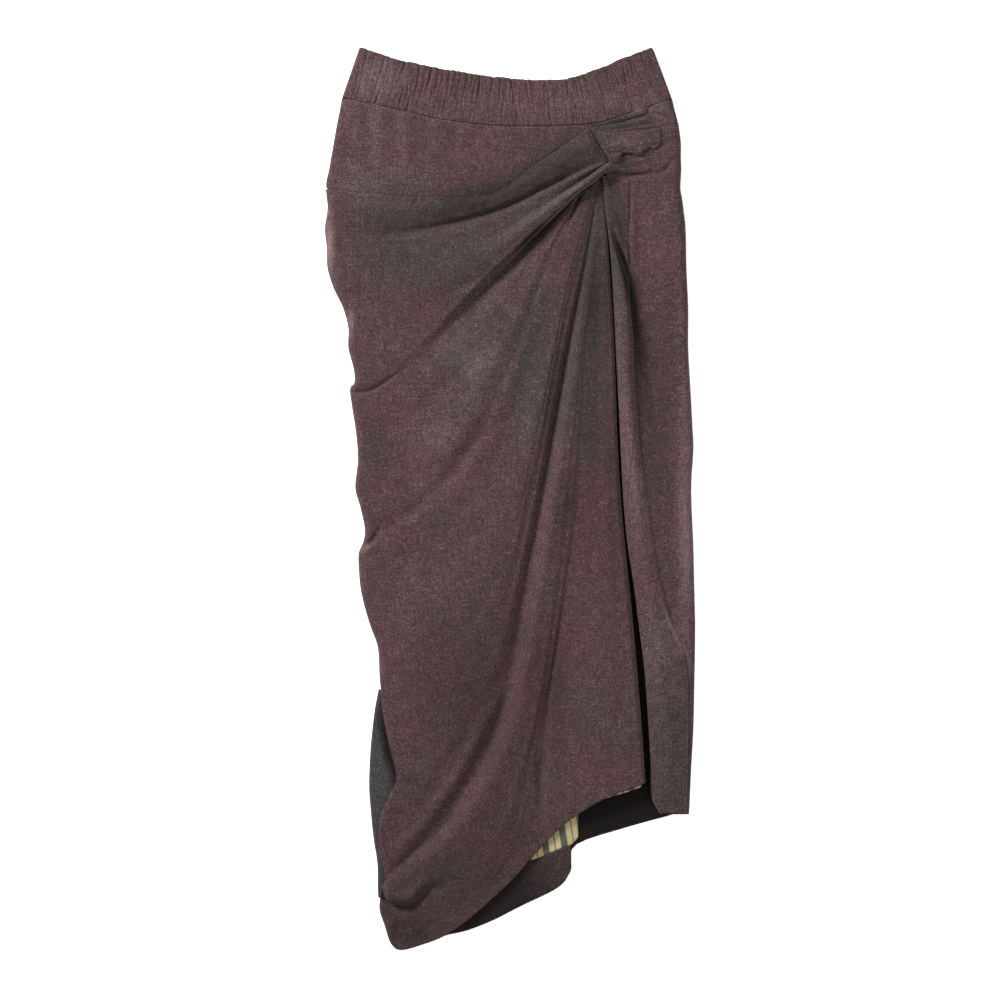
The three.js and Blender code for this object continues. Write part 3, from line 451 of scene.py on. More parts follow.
@dataclass(frozen=True)
class NappedCloth:
    """Brushed wool-like cloth, dyed unevenly in plum, wine and moss, with pale and rusty flecks."""

    name: str
    plum: Tone = (51, 37, 38)
    moss: Tone = (45, 40, 38)
    wine: Tone = (56, 36, 40)
    rust: Tone = (58, 41, 37)
    pale: Tone = (92, 75, 74)
    deep: Tone = (20, 13, 14)
    fleck: Tone = (112, 98, 94)
    rusty_fleck: Tone = (104, 84, 70)
    moss_bias: float = 0.0
    light_bias: float = 0.0
    # How far the whole cloth is dimmed: a copy dimmed far below 1 paints the shade deep inside the opening
    dimness: float = 1.0
    # How large its unevenness is, from the broad changes of dye down to the hairs, in millimetres
    reddish_mm: float = 60
    clouds_mm: float = 42
    blotches_mm: float = 13
    rusty_mm: float = 6
    heather_mm: float = 2.4
    weave_mm: float = 2.0
    hairs_mm: float = 1.2
    # How deep its nap is, in millimetres
    nap: float = 0.8

    def material(self) -> bpy.types.Material:
        """Build the cloth's material.

        Returns:
            The new material.
        """
        nodes = Nodes(self.name)
        place = nodes.add("ShaderNodeTexCoord", {}, {}, "Object")
        moss = nodes.add("ShaderNodeAttribute", {"attribute_name": Channel.MOSS.value}, {}, "Fac")
        light = nodes.add("ShaderNodeAttribute", {"attribute_name": Channel.LIGHT.value}, {}, "Fac")
        clouds = nodes.noise(place, self.clouds_mm, 3.0, 0.55)
        blotches = nodes.noise(place, self.blotches_mm, 3.0, 0.6)
        heather = nodes.noise(place, self.heather_mm, 3.0, 0.75)
        hairs = self._threads(nodes, place, self.hairs_mm, 0.45)
        weave = self._threads(nodes, place, self.weave_mm, 0.13)
        patchy = moss + self.moss_bias + (clouds - 0.5) * 1.3 + (blotches - 0.5) * 0.6
        reddish = nodes.spread(nodes.noise(place, self.reddish_mm, 2.0, 0.5), 0.42, 0.66)
        plum = nodes.mix(reddish, self._shade(self.plum), self._shade(self.wine))
        ground = nodes.mix(patchy.clamped(), plum, self._shade(self.moss))
        rusty = nodes.spread(nodes.noise(place, self.rusty_mm, 3.0, 0.65), 0.54, 0.70)
        ground = nodes.mix(rusty * 0.45, ground, self._shade(self.rust))
        # The light channel holds lighter and darker dyeing and also painted shade and highlights: it mixes
        # the cloth towards pale and towards deep
        tone = light + self.light_bias + (blotches - 0.5) * 1.1
        brightness = tone + (heather - 0.5) * 1.5 + (hairs - 0.5) * 5.0 + (weave - 0.5) * 2.2
        brighter = nodes.mix((brightness * 0.55).clamped(), ground, self._shade(self.pale))
        dimmer = nodes.mix((brightness * -0.6).clamped(), brighter, self._shade(self.deep))
        rustier = nodes.spread(blotches, 0.5, 0.62)
        flecks = nodes.mix(rustier, self._shade(self.fleck), self._shade(self.rusty_fleck))
        cloth = nodes.mix(nodes.spread(hairs, 0.54, 0.82) * 0.38, dimmer, flecks)
        cloth = nodes.mix(nodes.spread(hairs, 0.46, 0.26) * 0.6, cloth, self._shade(self.deep))
        # Far below nothing the light channel turns the cloth deep: painted shade in creases, gaps and under
        # overhangs
        cloth = nodes.mix((tone * -0.7 - 0.3).clamped(), cloth, self._shade(self.deep))
        height = hairs * 0.8 + heather * 0.6 + blotches * 0.9
        relief = {"Strength": 0.35, "Distance": self.nap * MM, "Height": height}
        bump = nodes.add("ShaderNodeBump", {}, relief)
        inputs = {
            "Base Color": cloth,
            "Roughness": 0.95,
            "Specular IOR Level": 0.15,
            "Sheen Weight": 0.5,
            "Sheen Roughness": 0.3,
            "Sheen Tint": colour(200, 185, 178),
            "Normal": bump,
        }
        return nodes.finish(inputs)

    @staticmethod
    def _threads(nodes: Nodes, place: Socket, size_mm: float, draw: float) -> Socket:
        """Cross two sets of uneven threads, each drawn out along one way of the cloth."""
        sets = []
        for stretch in ((1, draw, 1), (draw, 1, 1)):
            lain = nodes.add("ShaderNodeVectorMath", {"operation": "MULTIPLY"}, {0: place, 1: stretch})
            sets.append(nodes.noise(lain, size_mm, 2.0, 0.7))
        return sets[0] * 0.5 + sets[1] * 0.5

    def _shade(self, tone: Tone) -> Paint:
        """Give a tone in the renderer's values, dimmed as a whole."""
        red, green, blue, alpha = colour(*tone)
        return (red * self.dimness, green * self.dimness, blue * self.dimness, alpha)


@dataclass(frozen=True)
class StripedLining:
    """Smooth lining, striped along its length in straw and grey-green, with a thin dark line in the straw."""

    name: str = "striped_lining_cloth"
    straw: Tone = (146, 134, 97)
    sage: Tone = (46, 52, 49)
    line: Tone = (58, 58, 44)
    thread: Tone = (88, 78, 50)
    pitch: float = 22.0
    lean: float = 0.16
    shift: float = 1.4
    # Where the broad stripe, the middle line and the side line begin or end, in shares of the pitch
    stripe_edge: tuple[float, float] = (0.165, 0.185)
    middle_line: tuple[float, float] = (0.455, 0.475)
    side_line_start: tuple[float, float] = (0.21, 0.225)
    side_line_end: tuple[float, float] = (0.245, 0.23)
    thread_mm: float = 1.2

    def material(self) -> bpy.types.Material:
        """Build the lining's material.

        Returns:
            The new material.
        """
        nodes = Nodes(self.name)
        place = nodes.add("ShaderNodeTexCoord", {}, {}, "Object")
        across = nodes.add("ShaderNodeSeparateXYZ", {}, {"Vector": place}, "X")
        along = nodes.add("ShaderNodeSeparateXYZ", {}, {"Vector": place}, "Y")
        phase = (across + along * self.lean) * (1 / (self.pitch * MM)) + self.shift / self.pitch
        half = nodes.add("ShaderNodeMath", {"operation": "PINGPONG"}, {0: phase, 1: 0.5})
        broad = nodes.mix(nodes.spread(half, *self.stripe_edge), colour(*self.sage), colour(*self.straw))
        lined = nodes.mix(nodes.spread(half, *self.middle_line) * 0.85, broad, colour(*self.line))
        side_line = nodes.spread(half, *self.side_line_start) * nodes.spread(half, *self.side_line_end)
        lined = nodes.mix(side_line * 0.3, lined, colour(*self.line))
        threads = nodes.noise(place, self.thread_mm, 2.0, 0.5)
        shade = nodes.mix(nodes.spread(threads, 0.4, 0.7) * 0.4, lined, colour(*self.thread))
        bump = nodes.add("ShaderNodeBump", {}, {"Strength": 0.2, "Distance": 0.3 * MM, "Height": threads})
        inputs = {"Base Color": shade, "Roughness": 0.6, "Specular IOR Level": 0.3, "Normal": bump}
        return nodes.finish(inputs)


@dataclass
class Cloth:
    """A sheet of cloth as a grid of places, made into a thin shell."""

    name: str
    surface: Surface
    wall: float = CLOTH
    closed_round: bool = False
    own_dye_and_shade: tuple[DyeAndShadePatch, ...] = ()

    def build(self) -> bpy.types.Object:
        """Make the sheet's mesh, its attributes of dyeing and painted shade, and its wall.

        Returns:
            The new object, at the origin.
        """
        x, y, z = self.surface
        columns, rows = x.shape
        shell = bmesh.new()
        bmesh.ops.create_grid(shell, x_segments=columns - 1, y_segments=rows - 1, size=1)
        shell.verts.ensure_lookup_table()
        for k, vert in enumerate(shell.verts):
            row, column = divmod(k, columns)
            vert.co = (x[column, row] * MM, y[column, row] * MM, z[column, row] * MM)
        if self.closed_round:
            bmesh.ops.remove_doubles(shell, verts=shell.verts, dist=WELD)
        bmesh.ops.recalc_face_normals(shell, faces=shell.faces)
        upward = sum(face.normal.z * face.calc_area() for face in shell.faces)
        if upward < 0 and not self.closed_round:
            bmesh.ops.reverse_faces(shell, faces=shell.faces)
        bmesh.ops.triangulate(shell, faces=shell.faces, quad_method="SHORT_EDGE")
        mesh = bpy.data.meshes.new(self.name)
        shell.to_mesh(mesh)
        shell.free()
        for polygon in mesh.polygons:
            polygon.use_smooth = True
        self._dye_and_shade(mesh)
        piece = bpy.data.objects.new(self.name, mesh)
        bpy.context.scene.collection.objects.link(piece)
        wall = piece.modifiers.new("wall", "SOLIDIFY")
        wall.thickness = self.wall * MM
        wall.offset = -1
        wall.use_even_offset = False
        return piece

    def _dye_and_shade(self, mesh: bpy.types.Mesh) -> None:
        """Write the two channels of dyeing, painted shade and painted highlights on the mesh's points."""
        places = np.zeros(3 * len(mesh.vertices))
        mesh.vertices.foreach_get("co", places)
        places = places.reshape(-1, 3) / MM
        for channel in Channel:
            attribute = mesh.attributes.new(channel.value, "FLOAT", "POINT")
            amount = dye_and_shade(DYE_AND_SHADE + self.own_dye_and_shade, channel, places[:, 0], places[:, 1])
            attribute.data.foreach_set("value", amount.astype(np.float32))


def finish_piece(
    piece: bpy.types.Object,
    nodes: Sequence[str],
    material: bpy.types.Material,
) -> bpy.types.Object:
    """Give a cloth piece its material and its place in the frame.

    Args:
        piece: The finished object.
        nodes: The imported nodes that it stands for.
        material: Its material.

    Returns:
        The same object.
    """
    piece.data.materials.clear()
    piece.data.materials.append(material)
    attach(piece, BODY)
    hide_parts(*nodes)
    log.info("%s: %d triangles on its outer side", piece.name, len(piece.data.polygons))
    return piece


def grid_of(columns: Array, rows: Array) -> tuple[Array, Array]:
    """Spread two lists of shares into a grid of columns by rows."""
    return np.meshgrid(columns, rows, indexing="ij")


def turned_shares(middle: int, turn: float, steps: int = 6) -> Array:
    """Make shares from 0 to 1 that lie closer together over a turn at each end.

    Args:
        middle: How many steps lie between the two turns.
        turn: The share that each turn takes.
        steps: How many steps each turn has.

    Returns:
        The shares in order.
    """
    edge = turn * (1 - np.cos(np.linspace(0, math.pi / 2, steps + 1)))
    inner = np.linspace(turn, 1 - turn, middle + 1)[1:-1]
    return np.concatenate([edge, inner, (1 - edge)[::-1]])


# Across the waist: share, height of the lower seam, height of the top edge
WAIST = (
    (0.00, 462, 520),
    (0.12, 453, 507),
    (0.28, 439, 496),
    (0.45, 431, 487),
    (0.60, 430, 483),
    (0.70, 431, 484),
    (0.78, 434, 491),
    (0.90, 448, 507),
    (1.00, 461, 520),
)
SEAM_AT, TOP_AT = columns_of(WAIST)


@dataclass
class Waistband:
    """Wide elastic in a gathered casing, pressed flat into one closed band."""

    seam_left: float = -194
    seam_right: float = 186
    top_left: float = -174
    top_right: float = 164
    thickness: float = 6.4
    wall: float = 2.4
    gathers: int = 120
    tucks: int = 250
    deepest: float = 1.25
    edge_round: float = 1.3
    front_steps: int = 700
    side_steps: int = 10
    back_steps: int = 150
    rows: int = 34
    front_seed: int = 7
    back_seed: int = 19
    # How far a gather may lie from its even place, in shares of the space between two
    stray: float = 0.45
    # How far the rounding of both edges reaches, and how deep the back's gathers are beside the front's
    round_reach: float = 2.2
    back_share: float = 0.5

    def _gathers(self, seed: int) -> list[tuple[float, float, float, float, float, float]]:
        """Draw each gather's place, lean, width, depth and the part of the height that it takes."""
        draw = random.Random(seed)
        found = []
        for k in range(self.gathers):
            place = (k + 0.5 + draw.uniform(-self.stray, self.stray)) / self.gathers
            start = draw.choice((-0.4, 0.1, 0.2, 0.3, 0.4, 0.5))
            stop = start + draw.uniform(0.35, 0.9) if draw.random() < 0.7 else 1.5
            lean = draw.uniform(-0.022, 0.022)
            width = draw.uniform(0.7, 1.8)
            found.append((place, lean, width, self.deepest * draw.uniform(0.2, 1.0), start, stop))
        for k in range(self.tucks):
            place = (k + 0.5 + draw.uniform(-self.stray, self.stray)) / self.tucks
            start = draw.uniform(-0.12, 0.02)
            width = draw.uniform(0.5, 0.9)
            deep = draw.uniform(0.15, 0.55)
            found.append((place, 0.0, width, deep, start, start + draw.uniform(0.2, 0.38)))
        return found

    def _pucker(self, across: Array, up: Array, seed: int) -> Array:
        """Find how deep the gathers are at each place on one run of the band."""
        length = self.seam_right - self.seam_left
        depth = np.zeros(across.shape)
        for place, lean, width, deep, start, stop in self._gathers(seed):
            reach = np.clip((up - start) / (stop - start), 0, 1)
            window = np.sin(math.pi * reach) ** 0.6
            depth += deep * window * bell((across - place - lean * (up - 0.5)) * length, width)
        return depth

    def surface(self) -> Surface:
        """Work out the band's outer face as columns round it by rows up it."""
        front = np.linspace(0, 1, self.front_steps + 1)
        turn = np.linspace(0, 1, self.side_steps + 1)[1:-1]
        back = np.linspace(1, 0, self.back_steps + 1)
        across = np.concatenate([front, np.ones(len(turn)), back, np.zeros(len(turn)), [0.0]])
        angle = np.concatenate([
            np.full(len(front), math.pi / 2),
            math.pi * (0.5 - turn),
            np.full(len(back), -math.pi / 2),
            -math.pi * (0.5 + turn),
            [math.pi / 2],
        ])
        up = turned_shares(self.rows, 0.05)
        a, v = grid_of(across, up)
        angle = np.broadcast_to(angle[:, None], a.shape)
        radius = self.thickness / 2
        left = lerp(self.seam_left, self.top_left, v) + radius
        right = lerp(self.seam_right, self.top_right, v) - radius
        lift = np.sin(angle)
        front_depth = self._pucker(a, v, self.front_seed)
        depth = np.where(lift > 0, front_depth, self._pucker(a, v, self.back_seed) * self.back_share)
        height = TOP_AT(a) - SEAM_AT(a)
        inside = np.minimum(v, 1 - v) * height
        near_edge = np.clip(1 - inside / self.round_reach, 0, 1)
        fall = lerp(0.25, self.edge_round, v) * (1 - np.sqrt(1 - near_edge ** 2))
        sway = 0.5 * np.sin(a * 61) * np.cos(a * 17 + 1) * smooth(v)
        x = lerp(left, right, a) + (radius - fall) * np.cos(angle)
        y = SEAM_AT(a) + SEAM_GAP + v * (height - SEAM_GAP) + sway - 0.8 * depth * v ** 3
        z = radius + (radius - fall) * lift - np.maximum(lift, 0) * depth + np.maximum(-lift, 0) * depth * 0.4
        return x, y, z

    def build(self, cloth: bpy.types.Material) -> None:
        """Make the band and dress it."""
        piece = Cloth("waistband_cloth", self.surface(), wall=self.wall, closed_round=True).build()
        finish_piece(piece, ["waistband"], cloth)


@dataclass
class Yoke:
    """The upper front, which hangs from the waistband and runs in under the wrap."""

    # Down each side: height, outline, foot. A high foot lies flat under its neighbour.
    left_side: Rows = (
        (462, -194.5, 0.4), (450, -196.5, 0.4), (427, -201, 0.4), (404, -205, 0.4),
        (381, -209, 0.4), (359, -212.4, 0.4), (352, -204.5, 3.7), (332, -202, 3.7),
    )
    right_side: Rows = (
        (461, 186.5, 0.4), (450, 189, 0.4), (440, 191.6, 0.4), (433, 192.6, 0.4), (426, 186, 3.7),
        (400, 184, 3.7),
    )
    # Across its hidden lower edge: share, height
    lower: Rows = ((0, 332), (0.45, 326), (0.6, 350), (0.72, 384), (1, 400))
    turn: float = 7
    at_seam: float = 6.2
    below: float = 3.9
    settle: float = 20
    # The groove along the seam, and how far the hanging folds keep clear of it
    groove: float = 1.2
    groove_width: float = 1.5
    clear_of_seam: float = 4
    # Soft folds that hang from the seam: place, width, height, reach
    hanging: Rows = (
        (-176, 9, 1.8, 70), (-150, 11, 2.6, 95), (-118, 9, 1.8, 85), (-84, 12, 1.6, 60), (-52, 10, 1.3, 60),
        (-14, 13, 1.2, 45), (24, 10, 0.9, 35), (58, 8, 0.7, 25), (150, 9, 0.8, 14),
    )
    creases: tuple[Crease, ...] = (
        Crease("left drop", ((-167, 455), (-164, 430), (-160, 400), (-158, 370)), 0.9, 5),
        Crease("second drop", ((-136, 450), (-131, 425), (-128, 395)), 0.8, 5),
        Crease("third drop", ((-101, 440), (-97, 415), (-96, 390)), 0.6, 5),
        Crease("short drop", ((-42, 433), (-40, 415), (-39, 400)), 0.7, 3),
        Crease("shorter drop", ((-64, 437), (-62, 420), (-62, 405)), 0.5, 3),
        Crease("side draw", ((-206, 380), (-180, 372), (-150, 366)), 0.7, 5),
        Crease("pulled corner", ((96, 428.6), (118, 432), (134, 435.5), (147, 439.3), (155.5, 442),
               (159, 448), (161, 456)), 1.7, 1.8),
        Crease("swell by the corner", ((140, 444), (150, 450), (153, 456)), -1.2, 4),
        Crease("second pulled corner", ((160, 444), (168, 443), (178, 440.5), (190, 436)), 1.5, 2.0),
    )
    # The band's lower edge, from the middle of one side turn to the other
    band_left: float = -190.8
    band_length: float = 373.6
    # How many columns and rows it has, how much closer the rows lie by the seam, and its width
    columns: int = 210
    rows: int = 64
    row_power: float = 1.5
    full_width: float = 380

    def surface(self) -> Surface:
        """Work out the yoke's upper face."""
        left_x, left_foot = columns_of(self.left_side)
        right_x, right_foot = columns_of(self.right_side)
        lower = Curve(*zip(*self.lower))
        shares = turned_shares(self.columns, self.turn / self.full_width)
        across, down = grid_of(shares, np.linspace(0, 1, self.rows + 1) ** self.row_power)
        left_y = lerp(SEAM_AT(0.0) - SEAM_GAP, lower(0.0), down)
        right_y = lerp(SEAM_AT(1.0) - SEAM_GAP, lower(1.0), down)
        x = lerp(left_x(left_y), right_x(right_y), across)
        seam = SEAM_AT(np.clip((x - self.band_left) / self.band_length, 0, 1))
        y = lerp(seam - SEAM_GAP, lower(across), down)
        drop = seam - y
        height = self.below + (self.at_seam - self.below) * np.exp(-drop / self.settle)
        for place, width, rise, reach in self.hanging:
            fold = rise * bell(x - place, width) * bell(drop, reach)
            height = height + fold * (1 - bell(drop, self.clear_of_seam))
        height = height + relief_of(self.creases)(x, y)
        height = height - self.groove * bell(drop, self.groove_width)
        near_left = across < 0.5
        edge = np.where(near_left, left_x(left_y), right_x(right_y))
        foot = np.where(near_left, left_foot(left_y), right_foot(right_y))
        return x, y, rolled(height, foot, np.abs(x - edge), self.turn)

    def build(self, cloth: bpy.types.Material) -> None:
        """Make the yoke and dress it."""
        piece = Cloth("front_yoke_cloth", self.surface()).build()
        finish_piece(piece, ["front_yoke"], cloth)


@dataclass
class Back:
    """The back panel with the side that comes round to the front, its turned hem and its striped lining."""

    # Down the panel: height, left and right side
    sides: Rows = (
        (460, -189, 180.5), (404, -200.5, 185), (357, -204.5, 190), (312, -207, 196), (266, -204, 198),
        (220, -187, 199), (174, -181, 200), (133, -175, 202), (60, -171, 205), (0, -168, 203),
        (-40, -163, 204), (-102, -167, 207), (-148, -155, 207.5), (-185, -146, 207.5), (-222, -144, 207),
        (-290, -151, 204.5), (-340, -154, 202.5), (-358, -153, 201), (-376, -151, 141), (-398, -149, 76),
        (-430, -146, 69), (-450, -146, 49), (-470.5, -146, 9), (-490, -140, -31), (-502.5, -136, -74),
        (-511, -131, -100),
    )
    # Down the side that comes round: height, outline, inner side
    comes_round: Rows = (
        (-219, -152, -126), (-240, -156, -120), (-263, -159, -112), (-290, -161.5, -108),
        (-330, -163, -106), (-360, -161, -112), (-390, -158, -118), (-420, -153.5, -122),
        (-446, -153, -126), (-459, -152.5, -130),
    )
    # Along the hem inside the opening: place, lower edge, height of its upper face, depth of the turned hem
    near_hem: Rows = (
        (-78, -504, 2.9, 44), (-50, -498, 2.9, 46), (-20, -486, 2.9, 48), (10, -470.5, 3.0, 48.5),
        (35, -459, 3.6, 47), (52, -450, 4.8, 45), (63, -440.5, 6.0, 40), (70, -427, 5.0, 29),
    )
    far_hem: Rows = (
        (60, -405, 2.9, 40), (80, -396, 2.9, 40), (100, -388, 2.9, 40), (140, -376, 2.9, 40),
        (151, -371.5, 2.9, 40), (170, -363, 2.9, 40), (188, -358, 2.9, 40),
    )
    # The striped lining shows a little past the near facing's end
    near_lining_end: tuple[float, float, float, float] = (78, -412, 4.0, 22)
    lining_top: float = 86
    lining_end: float = 151
    # The panel's top at its sides, how far it lies below the seam, and how soon its top follows the seam
    top: float = 460.0
    seam_drop: float = 0.6
    seam_follow: float = 12
    # The side that comes round: its two ends, how high it lies and how wide its turn is
    round_top: float = -219
    round_foot: float = -459
    round_height: float = 4.4
    round_turn: float = 5
    # Where the turned hem's face begins and the lining's, how far the hem's rounding goes, and their ripple
    edge_gap: float = 1.0
    lining_gap: float = 0.3
    edge_reach: float = 1.5
    ripple: float = 0.25
    # The hem runs at a slant, so its cut is longer than it is across, and the lining's is a little shorter
    slant: float = 1.1
    lining_share: float = 0.9
    # How many columns and rows its sheets have
    panel_columns: int = 61
    panel_rows: int = 181
    round_columns: int = 34
    round_rows: int = 110
    strip_columns: int = 90
    strip_rows: int = 20

    def _panel(self) -> Surface:
        """Work out the panel's upper face, flat from the seam to the hem."""
        left, right = columns_of(self.sides)
        low = self.sides[-1][0]
        across, down = grid_of(np.linspace(0, 1, self.panel_columns), np.linspace(0, 1, self.panel_rows))
        side_y = lerp(self.top, low, down)
        near_seam = 1 - smooth(np.clip(down * self.seam_follow, 0, 1))
        y = side_y + (SEAM_AT(across) - self.seam_drop - self.top) * near_seam
        x = lerp(left(side_y), right(side_y), across)
        return x, y, np.full(x.shape, CLOTH)

    def _round(self) -> Surface:
        """Work out the side that comes round, with its outer edge turned down."""
        outline, inner = columns_of(self.comes_round)
        shares = 1 - np.cos(np.linspace(0, math.pi / 2, self.round_columns))
        across, along = grid_of(shares, np.linspace(self.round_top, self.round_foot, self.round_rows))
        x = lerp(outline(along), inner(along), across)
        wave = Crease("side drop", ((-156, -250), (-157, -300), (-155, -360), (-150, -420)), 0.7, 5)
        tucked = Crease("tucked in", ((-146, -222), (-142, -260), (-136, -300), (-130, -326)), 0.9, 7)
        height = self.round_height + wave.relief(x, along) + tucked.relief(x, along)
        return x, along, rolled(height, FOOT, x - outline(along), self.round_turn)

    def _strip(
        self,
        hem: Rows,
        top: float | None = None,
        end: float = math.inf,
    ) -> Surface:
        """Work out the turned hem, or the lining above it.

        Args:
            hem: The stations along the hem.
            top: How far above the hem's lower edge the lining ends, or None for the turned hem.
            end: How far across the strip may reach.

        Returns:
            The strip's places and heights.
        """
        low, rise, depth = columns_of(hem)
        places = np.linspace(hem[0][0], min(hem[-1][0], end), self.strip_columns)
        x, share = grid_of(places, np.linspace(0, 1, self.strip_rows))
        if top is None:
            start, stop = self.edge_gap, depth(x)
            near_edge = np.clip(1 - share * (stop - start) / self.edge_reach, 0, 1)
            edge = 1 - np.sqrt(1 - near_edge ** 2)
        else:
            start, stop = depth(x) + self.lining_gap, top
            edge = 0.0
        ripple = self.ripple * np.sin(x * 0.16) * share
        return x, low(x) + lerp(start, stop, share), rise(x) - edge + np.maximum(ripple, 0)

    def build(
        self,
        cloth: bpy.types.Material,
        inside: bpy.types.Material,
        grey: bpy.types.Material,
        lining: bpy.types.Material,
    ) -> None:
        """Make the back's pieces and dress them.

        Args:
            cloth: The cloth of the turned hem where light reaches it.
            inside: The same cloth dimmed nearly to black, which paints the shade deep inside the opening.
            grey: The greyer cloth of the side that comes round.
            lining: The striped lining.
        """
        # The back panel wears the dimmed cloth: painted shade
        panel = Cloth("back_panel_cloth", self._panel(), wall=CLOTH - FLOOR_GAP).build()
        finish_piece(panel, ["back_panel"], inside)
        # Painted shade on the side that comes round, under the overhanging edge of the wrap
        painted_fold_shade = DyeAndShadePatch(-136, -290, 9, 46, 14, 0.0, -2.2)
        side = Cloth("side_return_cloth", self._round(), own_dye_and_shade=(painted_fold_shade,)).build()
        finish_piece(side, ["side_return"], grey)
        # On the hem facings: the painted shadow of the wrap's hem on their left part, and a mossier, darker
        # tone on their right part
        hem_shadow_and_dye = (DyeAndShadePatch(-52, -486, 70, 40, 25, 0.0, -3.4), DyeAndShadePatch(45, -430, 60, 50, 0, 0.7, -0.5))
        # The far facing also wears the dimmed cloth: painted shade
        for name, hem, face in (("near", self.near_hem, cloth), ("far", self.far_hem, inside)):
            strip = Cloth(f"{name}_hem_facing_cloth", self._strip(hem), wall=FACING, own_dye_and_shade=hem_shadow_and_dye).build()
            width = (hem[-1][0] - hem[0][0]) * self.slant * MM
            finish_piece(strip, [f"{name}_hem_facing"], face)
            lined, end = (hem, self.lining_end) if name == "far" else ((*hem, self.near_lining_end), math.inf)
            surface = self._strip(lined, self.lining_top, end)
            sheet = Cloth(f"{name}_lining_cloth", surface, wall=LINING).build()
            flat = (width * self.lining_share, 0.046)
            finish_piece(sheet, [f"{name}_lining"], lining)


